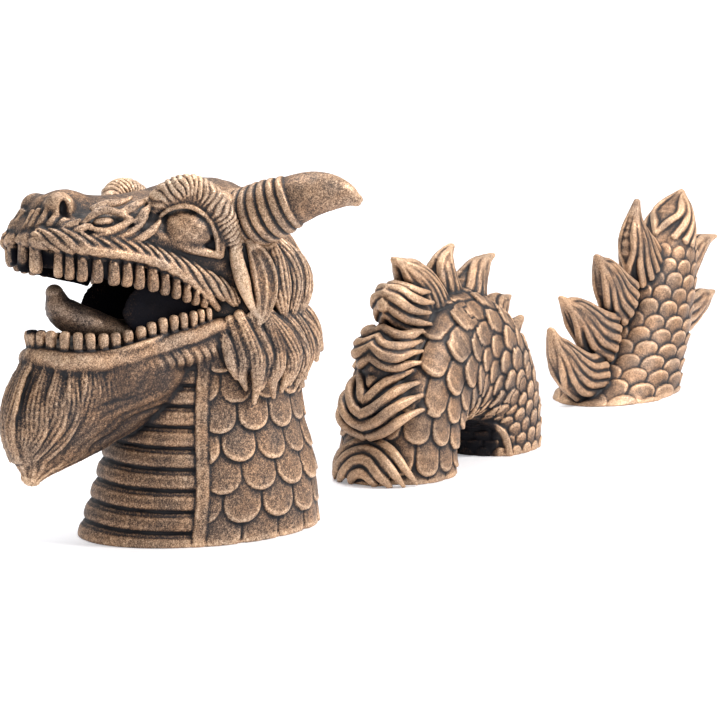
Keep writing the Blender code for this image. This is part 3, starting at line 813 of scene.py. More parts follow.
def ear_relief(skin):
    """A leaf hollowed on both sides of its rib."""
    run, across = skin.run, skin.across
    hollow = smooth(0.86 - np.abs(across), 0.0, 0.45) * smooth(run, 4, 14)
    rib = 2.6 * np.exp(-((across / 0.14) ** 2)) * smooth(run, 8, 20)
    front = smooth(skin.over, 0.0, 0.4) * (-6.0 * hollow + rib)
    return front + hairs(3 * across + 0.2 * np.sin(run / 8), 0.35)


def brow_relief(skin):
    run, across = skin.run, skin.across
    phase = run / 5.2 - 0.55 * across + 0.45 * np.sin(run / 9.0 + 1.3)
    phase = phase + 0.2 * np.sin(run / 3.7 + 2 * across)
    return ridges(phase, 2.4) + hairs(2.1 * phase + 0.3, 0.8)


def lip_relief(skin):
    return 0.35 * np.sin(skin.run / 5.0) * np.sin(skin.angle * 2)


def eye_relief(away):
    return 0.3 * np.sin(away[:, 0] / 2.6) * np.sin(away[:, 2] / 2.4)


# ---------------------------------------------------------------- head: sculpting
def teeth(rows, sink=0.0, knobs=False):
    """Rounded blocks, shortened by sink; knobs are beads near the gum on the back teeth."""
    shapes = []
    for i, (x, y, tip_z, gum_z, half) in enumerate(rows):
        before, after = rows[max(i - 1, 0)], rows[min(i + 1, len(rows) - 1)]
        along = unit(np.array((after[0] - before[0], after[1] - before[1], 0.0)))
        if i == 0:
            along = np.array((0.0, -1.0, 0.0))
        face = np.cross(along, (0, 0, 1.0))
        if face[1] > 0.2 or face[0] > 0.2:
            face = -face
        up = 1 if tip_z < gum_z else -1  # upper teeth hang down
        root = np.array((x, y, gum_z + up * 3.0))
        tip = np.array((x + 0.6 * math.sin(i * 2.3), y, tip_z + up * (sink + 1.2)))
        stations = [
            (*root, half * 0.86, 3.6),
            (*(root * 0.45 + tip * 0.55), half * 0.94, 4.3),
            (*(tip * 0.8 + root * 0.2), half, 4.6),
            (*tip, half * 0.9, 3.6),
        ]
        shapes.append(Sweep(stations, up=tuple(face), per=3, power=2.9, cap=(1.5, 2.0)))
        if knobs and i >= 4:
            shapes.append(Ball(root * 0.75 + tip * 0.25 + face * 4.2, (2.3, 2.0, 2.4)))
    return shapes


def add_masses(vol):
    vol.add(Stack(NECK, relief=neck_relief), blend=0)
    vol.add(Sweep(SKULL, power=2.3, relief=skull_relief), blend=10)
    vol.add(Sweep(CROWN), Sweep(NOSE), Sweep(BRIDGE), blend=9)
    vol.both(Ball((-149, -15, 307), (14, 12, 13)), blend=7)  # sides of the nose
    vol.add(Sweep(JAW, power=2.3, relief=jaw_relief), blend=8)
    vol.add(Sweep(BEARD, up=(0, 1, 0), relief=beard_relief), blend=3)
    vol.add(Sweep(NAPE, up=(0, 1, 0)), blend=10)
    vol.both(Sweep(LOWER_SIDE, up=SIDEWAYS), Sweep(TEMPLE, up=SIDEWAYS), blend=8)


def open_mouth(vol, gape, throat):
    vol.cut(gape, blend=3)
    vol.cut(throat, blend=4)
    # walls that close the corners of the mouth inside the teeth
    vol.both(Sweep(MOUTH_CORNER, cap=(6, 3)), blend=2)
    # gum behind the upper teeth
    vol.both(Sweep(UPPER_GUM, cap=(3, 3)), blend=1.5)


def add_eyes(vol):
    vol.cut_both(Ball((-40, -64, 285), (25, 15, 20)), blend=6)
    vol.both(Ball((-36, -46.5, 281), (27.5, 19, 20.5), relief=eye_relief), blend=1.0)
    vol.both(Sweep(UPPER_LID, up=SIDEWAYS), Sweep(LOWER_LID, up=SIDEWAYS), blend=3.5)
    vol.both(Sweep(INNER_LID, up=SIDEWAYS), blend=2)
    vol.both(Sweep(BROW, up=(0, -1, 0.15), relief=brow_relief), blend=3)


def add_snout(vol):
    # almond recess with a rim
    vol.cut_both(Ball((-120, -49, 295), (13, 8, 7), turn=-3), blend=3)
    rims = [Sweep(rows, up=SIDEWAYS) for rows in (RECESS_RIM_TOP, RECESS_RIM_BOTTOM)]
    vol.both(*rims, blend=3.5)
    vol.both(Ball((-119, -41, 294), (10, 5, 4.5)), blend=2)
    # curls under the nose, lobes at the front of the lip, nostrils
    for x, y, z, sweep, rise, half in SNOUT_CURLS:
        rows = [
            (x - 2, y + 1, z - 4, half * 0.6, 3),
            (x + sweep * 0.2, y - 2, z + rise * 0.4, half, 4),
            (x + sweep, y, z + rise, half * 0.7, 3),
        ]
        vol.both(Sweep(rows, up=(-1, 0, 0.3)), blend=3)
    vol.both(Ball((-174, -27, 279), (8, 8, 7)), Ball((-178, -12, 279), (6, 8, 7)), blend=3)
    vol.cut_both(Ball((-149, -27, 306), (4.6, 9, 8)), blend=3.5)


def add_lips(vol):
    x, y, z, width, thickness = np.array(LIP, float).T
    size = 1.06 - 0.0016 * (x + 60)  # fuller towards the front
    rows = np.c_[x + 0.02 * (x + 60), y, z - 1, width * size, thickness * size]
    vol.both(Sweep(rows, relief=lip_relief), blend=1.2)
    rows = thinned(UPPER_LIP, 0.72, 0.72) + (0, 1.5, 1, 0, 0)
    vol.both(Sweep(rows, up=(0, -1, 0.4)), blend=4)


def add_hair(vol):
    vol.both(Sweep(MUZZLE_BAND, up=(0, -1, 0.15), relief=band_relief), blend=2.5)
    for width, thickness, up, points in BEARD_LOCKS:
        lock = strand(points, width * 1.35, thickness * 0.5, up=up, grooves=4, depth=1.3)
        vol.both(lock, blend=3)
    vol.both(Sweep(EAR, up=SIDEWAYS, relief=ear_relief), blend=1.5)
    for points, width, thickness, grooves, depth in LOCKS:
        lock = strand(
            points, width * 1.06, thickness, grooves=grooves + 1, depth=depth * 1.35, tip=2.0
        )
        vol.both(lock, blend=1.6)


def add_teeth(vol):
    vol.add(*teeth(UPPER_TEETH, knobs=True), blend=0.5)
    vol.add(*map(Other, teeth(UPPER_TEETH, sink=6.0)), blend=0.5)
    vol.both(*teeth(LOWER_TEETH), blend=0.5)


def head_finish(points, gape, throat):
    """Painted shade in the hollows of the mouth, and a brightness offset: more or less gold on brow,
    beard and locks, darker teeth, and painted shade under the jaw.
    """
    x, _, z = points.T
    near = np.where((off_plane(points) > 0)[:, None], reflect(points), points)
    near_y, near_z = -near[:, 1], near[:, 2]
    # distance of the tooth row from the middle plane
    row_x = [-181, -177, -162, -154, -143, -129, -115, -102, -28]
    arc = np.interp(x, row_x, [7.5, 23, 38, 42, 46, 49, 52, 53, 59])
    # painted shade inside the tooth row, where the mouth lies in shadow
    inner = fall(gape(points), -4.0, 1.0) * smooth(arc - 3.0 - near_y, -0.5, 1.5)
    inner = inner * np.maximum(smooth(x, -160, -142), smooth(near_z, 240, 246))
    # painted shade: dark in the throat and inside the tooth row
    painted_shade = np.maximum(1 - smooth(throat(points), 0.5, 4.0), inner)

    def face(shape, reach):
        return fall(shape(points), -1.0, reach)

    brow = Sweep(BROW, up=(0, -1, 0.15))
    fringe = Sweep([(*point, 6) for point in LOCKS[0][0]], up=SIDEWAYS)
    edges = [face(brow, 3.0), face(Other(brow), 3.0), 0.8 * face(fringe, 2.0)]
    gold_and_shade = 0.17 * np.maximum.reduce(edges)
    gold_and_shade += 0.10 * fall(z, 78, 100) * fall(x, -170, -150)  # tip of the beard
    # painted shade under the jaw, on the front of the throat
    gold_and_shade -= 0.12 * fall(x, -66, -52) * fall(z, 150, 172) * smooth(x, -130, -122)  # under the jaw
    gold_and_shade += 0.025 * fall(z, 150, 170) * smooth(x, -50, -30)  # neck
    gold_and_shade -= 0.035 * fall(x, -130, -90) * fall(z, 165, 175)  # beard
    gold_and_shade -= 0.05 * smooth(x, 0, 12) * smooth(z, 115, 130) * fall(z, 200, 212)  # lower locks
    gold_and_shade -= 0.06 * fall(x, -80, -60) * smooth(z, 258, 266)  # top of the snout
    upper_x = [-163, -143, -115, -91, -65, -44, -14]
    upper = np.interp(x, upper_x, [272, 268, 260, 259, 248, 235, 217])
    lower = np.interp(x, [-172, -114, -68, -23], [181, 180, 188, 200])
    row = fall(np.abs(near_y - arc), 5, 7)
    row = row * smooth(upper - near_z, 0, 3) * smooth(near_z - lower, 0, 3)
    middle = (upper + lower) / 2
    gold_and_shade -= 0.13 * row * smooth(near_z, middle - 2, middle + 2) + 0.03 * row
    return np.maximum(painted_shade, 0), gold_and_shade


def build_head():
    vol = Volume((-216, -98, -3), (142, 100, 346), FINE)
    gape, throat = Sweep(GAPE, power=4), Sweep(THROAT)
    add_masses(vol)
    open_mouth(vol, gape, throat)
    add_eyes(vol)
    add_snout(vol)
    for points, width in CHEEK_HAIR:
        vol.both(strand(points, width, width * 0.8, up=(0, -1, 0.4)), blend=2.5)
    add_lips(vol)
    add_hair(vol)
    add_teeth(vol)
    # sockets of the separate pieces, and the hollow core
    socket = Sweep(widened(HORN, 0.6))
    vol.cut(socket, Other(socket), Sweep(widened(TONGUE, 0.5)), blend=0)
    vol.cut(Stack(NECK_CORE), blend=1)
    obj, points = vol.mesh("head_sculpt", HEAD_AT)
    painted_shade, gold_and_shade = head_finish(points.astype(f32), gape, throat)
    put_finish(obj, points, painted_shade=painted_shade, gold_and_shade=gold_and_shade)
    return obj


def build_piece(name, shape):
    """A horn or the tongue, in the head's frame."""
    pad = 3.0
    vol = Volume([v - pad for v in shape.lo], [v + pad for v in shape.hi], PIECE_STEP)
    vol.add(shape, blend=0)
    obj, points = vol.mesh(name, HEAD_AT, on_floor=False)
    put_finish(obj, points)
    return obj


# ---------------------------------------------------------------- fins of the hump and the tail
def bundle(rows, count, thickness, phase):
    """Strands that lie over one side of a fin and sweep in an S from its root to its tip."""
    path = spline(rows, 5)
    last = len(path) - 1
    slope = np.gradient(path[:, [0, 2]], axis=0)
    slope /= np.linalg.norm(slope, axis=1, keepdims=True)
    columns = np.c_[path, slope].T
    width = float(np.max(path[:, 3])) / count * 1.12
    strands = []
    for j in range(count):
        place = -0.95 + 1.9 * j / (count - 1)
        end = 1 - 0.14 * (j % 2)
        points = []
        for i in np.linspace(0, end * last, 6):
            x, _, z, half, thick, slope_x, slope_z = (
                np.interp(i, range(last + 1), column) for column in columns
            )
            part = i / last
            bend = 0.24 * math.sin(2 * math.pi * part + phase) * (1 - part * part)
            side = float(np.clip(place * (1 - 0.55 * part**3) + bend, -1.02, 1.02))
            y = -thick * math.sqrt(max(1 - side * side, 0.0)) * 0.98
            points.append((x - slope_z * half * side, y, z + slope_x * half * side))
        strands.append(
            strand(points, width, thickness, depth=0.5, tip=1.5, blunt=True, phase=j * 0.31)
        )
    return strands


def add_fin(vol, rows, count, depth, swirl):
    """The body under a fin's strands, with count shallow ridges round it."""

    def relief(skin):
        phase = count * skin.angle / (2 * np.pi) + swirl * skin.run
        return ridges(phase + 0.15 * np.sin(skin.run / 11.0), depth * 0.3, level=0.55)

    vol.add(Sweep(thinned(rows, 0.86, 0.80), up=(0, 1, 0), relief=relief), blend=3)


# ---------------------------------------------------------------- hump
ARCH_PATH = midline([  # x, z, half width, half thickness
    (-82, -30, 51, 54), (-82, 0, 51, 54), (-80, 30, 51, 54), (-68, 66, 54, 55),
    (-38, 96, 60, 54), (4, 107, 66, 52), (46, 96, 62, 54), (78, 64, 57, 55),
    (90, 30, 54, 54), (92, 0, 54, 54), (92, -30, 54, 54),
])
HUMP_SCALES = [  # shift along the arch, row spacing, width, scales around, height, last row
    (973, 24.0, 29.0, 12, 4.6, np.inf), (760.0, 19.0, 22.0, 16, 4.0, 31),
    (600.0, 15.0, 18.0, 20, 3.4, 23),
]
OPENING = [  # z, centre x, half length, half width
    (-20, 3, 34, 200), (0, 3, 34, 200), (12, 3, 32, 200), (24, 3, 27, 200), (33, 3, 19, 200),
    (38, 3, 11, 200), (40.5, 3, 3, 200),
]
OPENING_RIM = [
    (22, -24, 44, 3, 4), (34, -30, 38, 3.6, 5), (45, -38, 31, 3.6, 5), (52, -44, 22, 3.6, 5),
    (56, -46, 10, 3.6, 5), (58, -47, -6, 3.6, 5),
]
CURL = [  # arcs of the lowest fin, over the front foot
    [(-130, 4, 41), (-134, -12, 38), (-137, -28, 30), (-134, -40, 16), (-126, -47, 2)],
    [(-141, 4, 34), (-143, -10, 31), (-146, -23, 23), (-143, -35, 10), (-137, -40, 0)],
    [(-149, 4, 26), (-150, -8, 23), (-151, -18, 14), (-148, -27, 4), (-143, -30, -2)],
    [(-152, 4, 14), (-152, -6, 12), (-151, -12, 6), (-148, -14, -2)],
]
# Strands of the curled fins on the front leg, from the curl back to the body
LOW_CURL = [
    [(-146, 4, 78), (-144, -4, 86), (-135, -10, 95), (-122, -18, 103), (-106, -26, 108),
     (-90, -30, 110)],
    [(-151, 4, 68), (-150, -9, 75), (-142, -19, 84), (-130, -26, 92), (-112, -33, 97),
     (-94, -37, 98)],
    [(-151, 4, 58), (-150, -14, 64), (-144, -26, 74), (-130, -33, 81), (-112, -39, 85),
     (-96, -42, 86)],
    [(-142, -4, 48), (-144, -20, 54), (-139, -32, 63), (-124, -40, 70), (-106, -44, 73)],
    [(-136, 2, 98), (-122, -8, 108), (-106, -16, 114), (-90, -20, 118)],
]
MIDDLE_CURL = [
    [(-119, 4, 143), (-129, -11, 136), (-122, -22, 134), (-107, -28, 135), (-90, -31, 137)],
    [(-131, 3, 136), (-134, -13, 128), (-125, -23, 125), (-109, -29, 127), (-91, -33, 127)],
    [(-134, 3, 127), (-132, -11, 118), (-120, -20, 114), (-107, -28, 116), (-92, -33, 116)],
    [(-110, 4, 150), (-112, -18, 143), (-98, -26, 144), (-82, -28, 146)],
    [(-130, 2, 114), (-125, -9, 108), (-114, -17, 105), (-98, -27, 106), (-88, -32, 108)],
]
HIGH_CURL = [
    [(-104, 3, 187), (-98, -10, 186), (-89, -17, 179), (-74, -23, 173), (-58, -26, 170)],
    [(-108, 3, 184), (-105, -12, 178), (-96, -18, 169), (-83, -23, 164), (-66, -27, 161)],
    [(-111, 2, 176), (-104, -10, 166), (-93, -16, 158), (-80, -23, 153), (-66, -28, 150)],
    [(-108, 4, 167), (-103, -3, 161), (-95, -9, 152), (-86, -17, 146), (-72, -26, 142)],
    [(-92, 2, 190), (-84, -8, 187), (-72, -15, 182), (-56, -20, 180)],
]
HUMP_FINS = [  # ridges, depth, swirl, strands (a count or their points), midline rows
    (9, 2.6, 0.012, CURL,
     [(-92, 10, 24, 42), (-118, 20, 22, 42), (-138, 14, 14, 36), (-142, 2, 8, 26)]),
    (12, 2.6, 0.012, LOW_CURL,
     [(-88, 84, 24, 36), (-112, 84, 24, 38), (-134, 72, 18, 32), (-140, 58, 9, 20)]),
    (12, 2.6, 0.01, MIDDLE_CURL,
     [(-70, 112, 30, 34), (-98, 126, 26, 31), (-118, 128, 17, 25), (-126, 118, 9, 16)]),
    (11, 2.5, 0.01, HIGH_CURL,
     [(-54, 146, 30, 30), (-80, 166, 24, 26), (-98, 176, 16, 18), (-110, 172, 8, 9)]),
    (11, 2.3, 0.006, 7,
     [(-26, 150, 32, 26), (-48, 184, 23, 18), (-72, 205, 9, 10), (-91, 215, 3, 3)]),
    (10, 2.2, -0.006, 5, [(2, 156, 30, 22), (-2, 184, 18, 15), (5, 204, 8, 8), (21, 216, 3, 3)]),
    (10, 2.2, -0.006, 6,
     [(44, 148, 32, 24), (60, 174, 18, 14), (82, 191, 7, 7), (105, 197, 2.5, 2.5)]),
    (10, 2.2, -0.006, 6,
     [(80, 118, 34, 28), (104, 138, 16, 14), (124, 146, 7, 7), (140, 150, 2.5, 2.5)]),
    (8, 1.8, 0.0, 4, [(98, 86, 26, 20), (134, 110, 14, 10), (166, 124, 4, 4)]),
]


def hump_relief(skin):
    """Scales that overlap towards the front foot, smaller towards the rear foot."""
    turn = np.abs(skin.angle) / (2 * np.pi)
    out = 0.0
    for shift, spacing, width, around, tall, last in HUMP_SCALES:
        across = turn * around * width
        height, found = scales(-skin.run + shift, across, spacing, width, tall, last)
        out = np.where(found, height, out)
    return out - 1.8


def build_hump():
    vol = Volume((-164, -66, -3), (182, 0, 226), BODY_STEP, half=True)
    vol.add(Sweep(ARCH_PATH, up=(0, 1, 0), power=2.5, relief=hump_relief), blend=0)
    for i, (count, depth, swirl, strands, rows) in enumerate(HUMP_FINS):
        rows = midline(rows)
        add_fin(vol, rows, count, depth, swirl)
        if strands is CURL:
            locks = [
                strand(points, 6.0, 5.5, up=(-1, -0.5, 0.5), depth=0.6, blunt=True)
                for points in strands
            ]
        elif isinstance(strands, list):
            locks = [strand(points, 5.4, 5.0, up=(-0.3, -1, 0.2), blunt=True) for points in strands]
        else:
            locks = bundle(thinned(rows, 0.88, 0.86), strands, thickness=5.0, phase=i * 0.6)
        vol.add(*locks, blend=1.0)
    vol.cut(Stack(OPENING, power=6), blend=1.5)
    vol.add(Sweep(OPENING_RIM, up=SIDEWAYS), blend=1.0)
    for x, half in ((-84, 37), (93, 40)):  # hollows in the two feet
        hollow = [
            (-20, x, half, 40), (0, x, half, 40), (28, x, half - 4, 34),
            (50, x * 0.92, half - 12, 24), (60, x * 0.88, 10, 10),
        ]
        vol.cut(Stack(hollow), blend=1)
    obj, points = vol.mesh("hump_sculpt", HUMP_AT)
    x, y, z = points.T
    # painted shade inside the tunnel between the hump's legs
    tunnel = fall(z, 38, 46) * smooth(x, -28, -20) * fall(x, 44, 50) * fall(np.abs(y), 38, 44)
    radius = np.hypot(x - 4, z)  # more gold on the fin tips, less near the ground
    gold_and_shade = 0.10 * smooth(radius, 192, 216) - 0.07 * smooth(radius, 150, 166)
    put_finish(obj, points, painted_shade=tunnel * 0.8, soft=0.6, gold_and_shade=gold_and_shade)
    return obj


# ---------------------------------------------------------------- tail
TAIL_BODY = [  # z, centre x, half length, half width
    (-12, -6, 97, 60), (0, 0, 97, 60), (20, 20, 86, 55), (48, 50, 73, 50), (83, 80, 62, 43),
    (118, 100, 55, 39), (149, 116, 43, 33), (175, 127, 28, 24), (192, 132, 14, 12),
]
TAIL_RUN = [-18, 0, 28, 68, 114, 154, 190, 219, 237]  # length along the tail at each of those
TAIL_CORE = [
    (-20, -2, 80, 46), (0, 0, 80, 46), (26, 24, 66, 40), (56, 52, 50, 32), (84, 74, 34, 22),
    (94, 80, 12, 8),
]
TAIL_FINS = [  # ridges, depth, swirl, strands, their thickness, midline rows
    (10, 2.4, 0.0, 6, 4.0,
     [(-60, 26, 30, 24), (-108, 42, 28, 18), (-142, 68, 15, 11), (-156, 92, 4, 4)]),
    (10, 2.3, 0.004, 6, 4.0,
     [(-26, 64, 34, 18), (-78, 89, 26, 15), (-113, 110, 10, 8), (-133, 124, 3, 3)]),
    (10, 2.3, 0.004, 6, 4.0,
     [(14, 100, 34, 18), (-20, 124, 27, 14), (-40, 146, 13, 9), (-51, 160, 3.5, 3.5)]),
    (8, 1.7, 0.0, 6, 4.0, [(62, 134, 36, 22), (40, 164, 29, 16), (37, 188, 13, 9), (45, 212, 3, 3)]),
    (9, 2.0, 0.0, 6, 5.0,
     [(120, 156, 31, 39), (133, 181, 24, 31), (147, 200, 11, 15), (157, 212, 3, 3)]),
    (9, 2.0, 0.0, 5, 4.0,
     [(146, 116, 30, 20), (180, 134, 18, 13), (212, 147, 7, 7), (246, 150, 2.5, 2.5)]),
    (10, 2.2, 0.0, 5, 4.0,
     [(138, 66, 30, 18), (184, 72, 21, 12), (222, 80, 8, 6), (244, 85, 2.5, 2.5)]),
]


def tail_relief(points, around):
    """Scales in rows that get closer together towards the tip, where they fade out."""
    x, _, z = points.T
    levels, centres, _, _ = np.array(TAIL_BODY, float).T
    run = np.interp(z, levels, TAIL_RUN) + 0.22 * (x - np.interp(z, levels, centres))
    row = np.interp(run, [-30, 0, 237], [-1.4, 0.0, 12.6])
    row = row + 0.9 * (run / 237) ** 2
    spacing, width = 20.0, 26.0
    across = around / (2 * np.pi) * 12 * width
    height, _ = scales(row * spacing + 400, across, spacing, width, tall=4.6)
    return (height - 1.8) * np.interp(run, [0, 188, 212], [1.0, 0.6, 0.0])


def build_tail():
    vol = Volume((-180, -70, -3), (262, 0, 222), BODY_STEP, half=True)
    vol.add(Stack(TAIL_BODY, relief=tail_relief), blend=0)
    for i, (count, depth, swirl, strands, thickness, rows) in enumerate(TAIL_FINS):
        rows = midline(rows)
        add_fin(vol, rows, count, depth, swirl)
        locks = bundle(thinned(rows, 0.86, 0.80), strands, thickness, phase=i * 0.5)
        vol.add(*locks, blend=1.0)
    vol.cut(Stack(TAIL_CORE), blend=1)
    obj, points = vol.mesh("tail_sculpt", TAIL_AT)
    x, _, z = points.T
    front = np.interp(z, [0, 48, 118, 192], [-84, -20, 46, 104])
    # painted shade: the tail's front side is darker
    put_finish(obj, points, soft=0.7, gold_and_shade=-0.07 * smooth(-x + front, -4, 10))
    return obj


# ---------------------------------------------------------------- finish
GOLD_RAMP = [  # from dark resin to dry-brushed gold
    (0.00, (0.006, 0.006, 0.009)), (0.20, (0.024, 0.017, 0.016)), (0.36, (0.085, 0.053, 0.038)),
    (0.50, (0.205, 0.128, 0.082)), (0.64, (0.370, 0.242, 0.158)), (0.80, (0.58, 0.41, 0.285)),
    (1.00, (0.86, 0.68, 0.51)),
]


def finish_material(name, speck, tint=(1.0, 1.0, 1.0), gold=1.0, bias=0.0):
    """Resin with gold on its edges; speck is the grain's scale, bias the overall brightness."""
    material = bpy.data.materials.new(name)
    material.use_nodes = True
    tree = material.node_tree
    tree.nodes.clear()

    def node(kind, **props):
        made = tree.nodes.new(kind)
        for key, value in props.items():
            setattr(made, key, value)
        return made

    def feed(value, socket):
        if isinstance(value, (int, float)):
            socket.default_value = value
        else:
            tree.links.new(value, socket)

    def math_node(kind, *values, clamp=False):
        made = node("ShaderNodeMath", operation=kind, use_clamp=clamp)
        for value, socket in zip(values, made.inputs):
            feed(value, socket)
        return made.outputs[0]

    def times(value, factor):
        return math_node("MULTIPLY", value, factor)

    def scaled(value, factor, plus, clamp=False):
        return math_node("MULTIPLY_ADD", value, factor, plus, clamp=clamp)

    def noise(scale, detail, rough):
        made = node("ShaderNodeTexNoise")
        feed(coord.outputs["Object"], made.inputs["Vector"])
        made.inputs["Scale"].default_value = scale
        made.inputs["Detail"].default_value = detail
        made.inputs["Roughness"].default_value = rough
        return made.outputs["Fac"]

    def wash(factor, color, multiplier):
        made = node("ShaderNodeMix", data_type="RGBA", blend_type="MULTIPLY")
        feed(factor, made.inputs[0])
        feed(color, made.inputs[6])  # colour A
        made.inputs[7].default_value = multiplier  # colour B
        return made.outputs[2]

    coord = node("ShaderNodeTexCoord")
    fine, mid, wide, painted_shade, soft, gold_and_shade = (
        node("ShaderNodeAttribute", attribute_name=key).outputs["Fac"]
        for key in ("fine", "mid", "wide", "painted_shade", "soft", "gold_and_shade")
    )
    grain = noise(speck, detail=2.0, rough=0.6)
    grit = noise(speck * 0.42, detail=3.0, rough=0.65)
    cloud = noise(34.0, detail=3.0, rough=0.55)
    patch = noise(120.0, detail=3.0, rough=0.6)
    # gold on the exposed edges; worn is where the dry brush caught them and where it missed
    worn = scaled(patch, 1.5, plus=0.25)
    edges = times(times(fine, worn), 0.80 * gold)
    edges = scaled(mid, 2.5 * gold, plus=edges)
    edges = scaled(wide, 1.2 * gold, plus=edges)
    edges = math_node("MINIMUM", edges, scaled(cloud, 0.34, plus=0.15))
    shade = math_node("ADD", edges, 0.40 + bias)
    # unevenness from fine to broad, calmer where the surface is soft
    calm = math_node("SUBTRACT", 1.0, times(soft, 0.45))
    for source, amount, calmed in (
        (grain, 1.15, True), (grit, 0.75, True), (cloud, 0.22, False), (patch, 0.30, False)
    ):
        swing = math_node("SUBTRACT", source, 0.5)
        shade = scaled(times(swing, calm) if calmed else swing, amount, plus=shade)
    # painted shade: darker in the mouth and in the hump's tunnel
    shade = math_node("SUBTRACT", shade, times(painted_shade, 0.75))
    # brightness offset: more or less gold, with painted shade under the jaw and on the tail's front
    shade = math_node("ADD", shade, gold_and_shade)
    shade = math_node("ADD", shade, 0.0, clamp=True)

    ramp = node("ShaderNodeValToRGB")
    elements = ramp.color_ramp.elements
    while len(elements) < len(GOLD_RAMP):
        elements.new(0.5)
    for element, (position, color) in zip(elements, GOLD_RAMP):
        element.position = position
        element.color = (color[0] * tint[0], color[1] * tint[1], color[2] * tint[2], 1)
    feed(shade, ramp.inputs["Fac"])
    # the wash is warmer in some places and greyer in others
    warmth = scaled(cloud, 3.6, plus=scaled(patch, 1.2, plus=-1.95), clamp=True)
    color = wash(warmth, ramp.outputs["Color"], (1.04, 0.94, 0.83, 1))
    color = wash(scaled(cloud, -3.4, plus=1.55, clamp=True), color, (0.92, 0.98, 1.06, 1))

    bump = node("ShaderNodeBump")
    bump.inputs["Strength"].default_value = 0.55
    bump.inputs["Distance"].default_value = 0.0007
    feed(scaled(grit, 0.8, plus=times(grain, 0.7)), bump.inputs["Height"])
    bsdf = node("ShaderNodeBsdfPrincipled")
    output = node("ShaderNodeOutputMaterial")
    for key, value in (
        ("Base Color", color),
        ("Roughness", scaled(shade, -0.16, plus=0.58)),
        ("Metallic", times(shade, 0.45)),
        # less specular sheen where the painted shade lies
        ("Specular IOR Level", scaled(painted_shade, -0.36, plus=0.4)),
        ("Normal", bump.outputs["Normal"]),
    ):
        feed(value, bsdf.inputs[key])
    feed(bsdf.outputs["BSDF"], output.inputs["Surface"])
    return material


head_mat = finish_material("head_resin", speck=900.0)
horn_mat = finish_material("horn_resin", speck=900.0, bias=-0.02)
tongue_mat = finish_material(
    "tongue_resin", speck=900.0, gold=0.7, bias=-0.09, tint=(0.87, 0.93, 1.03)
)
hump_mat = finish_material("hump_resin", speck=1100.0, bias=0.01, tint=(1.0, 0.99, 0.97))
tail_mat = finish_material("tail_resin", speck=1100.0, bias=0.035, tint=(1.01, 0.985, 0.96))

# ---------------------------------------------------------------- pieces
head = build_head()
horn = Sweep(HORN, relief=horn_relief)
near_horn = build_piece("horn_right_sculpt", horn)
far_horn = build_piece("horn_left_sculpt", Other(horn))
tongue = build_piece("tongue_sculpt", Sweep(TONGUE, relief=tongue_relief))
hump = build_hump()
tail = build_tail()


def nearest_horn(obj):
    """The CAD horn on this piece's side of the head."""
    centre = np.mean([list(corner) for corner in obj.bound_box], axis=0)

    def gap(name):
        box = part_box(name)
        return np.linalg.norm((np.array(box[0]) + np.array(box[1])) / 2 - centre)

    return min(("horn_left", "horn_right"), key=gap)


for obj, material, body, cad_name, slot in (
    (head, head_mat, "head", "head_casting", "head_finish"),
    (near_horn, horn_mat, "head", None, "horn_finish"),
    (far_horn, horn_mat, "head", None, "horn_finish"),
    (tongue, tongue_mat, "head", "tongue", "tongue_finish"),
    (hump, hump_mat, "hump", "hump_casting", "hump_finish"),
    (tail, tail_mat, "tail", "tail_casting", "tail_finish"),
):
    if cad_name is None:
        cad_name = nearest_horn(obj)
        obj.name = cad_name + "_sculpt"
    obj.data.materials.append(material)
    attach(obj, body)
    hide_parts(cad_name)


# ---------------------------------------------------------------- floor, light and camera
def floor_material():
    """A pale sheet that glows to the camera only, more so away from the castings."""
    material = bpy.data.materials.new("floor")
    material.use_nodes = True
    nodes, link = material.node_tree.nodes, material.node_tree.links.new
    surface = nodes["Principled BSDF"].inputs
    surface["Base Color"].default_value = (0.86, 0.86, 0.885, 1)
    surface["Roughness"].default_value = 0.55
    surface["Specular IOR Level"].default_value = 0.25
    surface["Emission Color"].default_value = (0.97, 0.97, 1.0, 1)
    seen = nodes.new("ShaderNodeLightPath")
    glow = nodes.new("ShaderNodeMath")
    glow.operation = "MULTIPLY"
    coord = nodes.new("ShaderNodeTexCoord")
    away = nodes.new("ShaderNodeVectorMath")
    away.operation = "LENGTH"
    fade = nodes.new("ShaderNodeMapRange")
    for key, value in (("From Min", 0.75), ("From Max", 2.6), ("To Min", 0.24), ("To Max", 0.62)):
        fade.inputs[key].default_value = value
    link(seen.outputs["Is Camera Ray"], glow.inputs[0])
    link(coord.outputs["Object"], away.inputs[0])
    link(away.outputs["Value"], fade.inputs["Value"])
    link(fade.outputs["Result"], glow.inputs[1])
    link(glow.outputs[0], surface["Emission Strength"])
    return material


def build_floor():
    mesh = bpy.data.meshes.new("floor")
    corners = [(-9, -9, 0), (9, -9, 0), (9, 9, 0), (-9, 9, 0)]
    mesh.from_pydata(corners, [], [(0, 1, 2, 3)])
    floor = bpy.data.objects.new("floor", mesh)
    scene.collection.objects.link(floor)
    floor.location.z = -0.0004
    mesh.materials.append(floor_material())


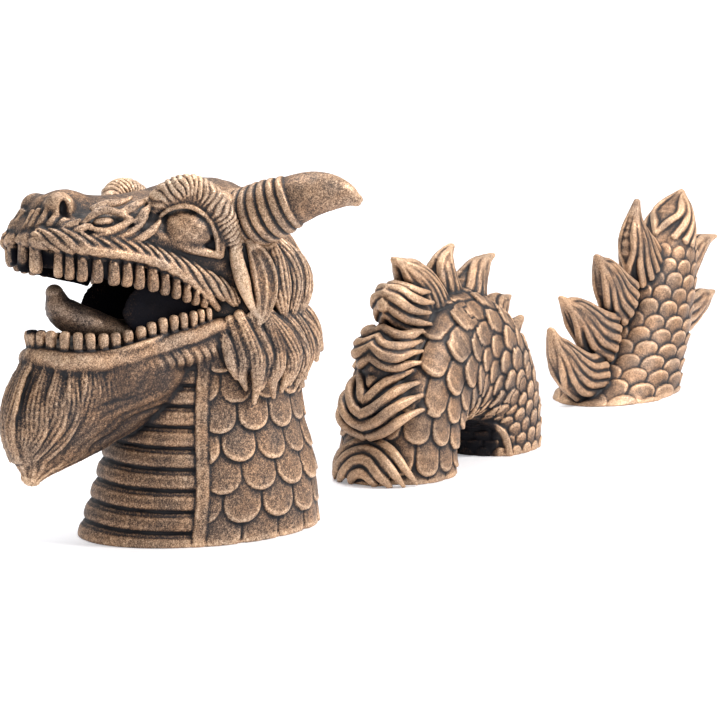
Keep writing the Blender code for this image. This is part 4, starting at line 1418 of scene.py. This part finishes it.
def build_world():
    """White to the camera, with a softer light on the castings."""
    world = bpy.data.worlds.new("studio")
    scene.world = world
    world.use_nodes = True
    nodes, link = world.node_tree.nodes, world.node_tree.links.new
    room, white = nodes["Background"], nodes.new("ShaderNodeBackground")
    for background, strength in ((room, 0.60), (white, 1.05)):
        background.inputs["Color"].default_value = (1.0, 1.0, 1.0, 1)
        background.inputs["Strength"].default_value = strength
    ray = nodes.new("ShaderNodeLightPath")
    pick = nodes.new("ShaderNodeMixShader")
    link(ray.outputs["Is Camera Ray"], pick.inputs[0])
    link(room.outputs[0], pick.inputs[1])
    link(white.outputs[0], pick.inputs[2])
    link(pick.outputs[0], nodes["World Output"].inputs["Surface"])


def area(name, at, aim, size, power, color=(1, 1, 1)):
    light = bpy.data.lights.new(name, "AREA")
    light.shape, light.size, light.energy, light.color = "DISK", size, power, color
    obj = bpy.data.objects.new(name, light)
    scene.collection.objects.link(obj)
    obj.location = at
    obj.rotation_mode = "QUATERNION"
    obj.rotation_quaternion = (Vector(aim) - Vector(at)).to_track_quat("-Z", "Y")


def build_camera():
    data = bpy.data.cameras.new("camera")
    data.sensor_width, data.lens = 36, 175
    data.clip_end = 60
    camera = bpy.data.objects.new("camera", data)
    scene.collection.objects.link(camera)
    camera.location = (-3.0506, -1.7551, 0.6755)
    right, up = Vector((0.5225, -0.8526, 0.0)), Vector((0.1390, 0.0852, 0.9866))
    forward = Vector((0.8412, 0.5155, -0.1630))
    camera.rotation_mode = "QUATERNION"
    camera.rotation_quaternion = Matrix((right, up, -forward)).transposed().to_quaternion()
    scene.camera = camera


scene = bpy.context.scene
build_floor()
build_world()
area("key", at=(0.9, -2.3, 2.1), aim=(-0.05, 0, 0.12), size=0.7, power=104, color=(1.0, 0.965, 0.93))
area("fill", at=(-2.4, -1.9, 1.0), aim=(-0.2, 0, 0.15), size=1.6, power=9, color=(0.94, 0.97, 1.0))
area("top", at=(0.1, 0.5, 2.6), aim=(0, 0, 0.1), size=1.2, power=44)
build_camera()
scene.view_settings.view_transform = "Standard"
scene.view_settings.look = "None"

bpy.context.view_layer.update()
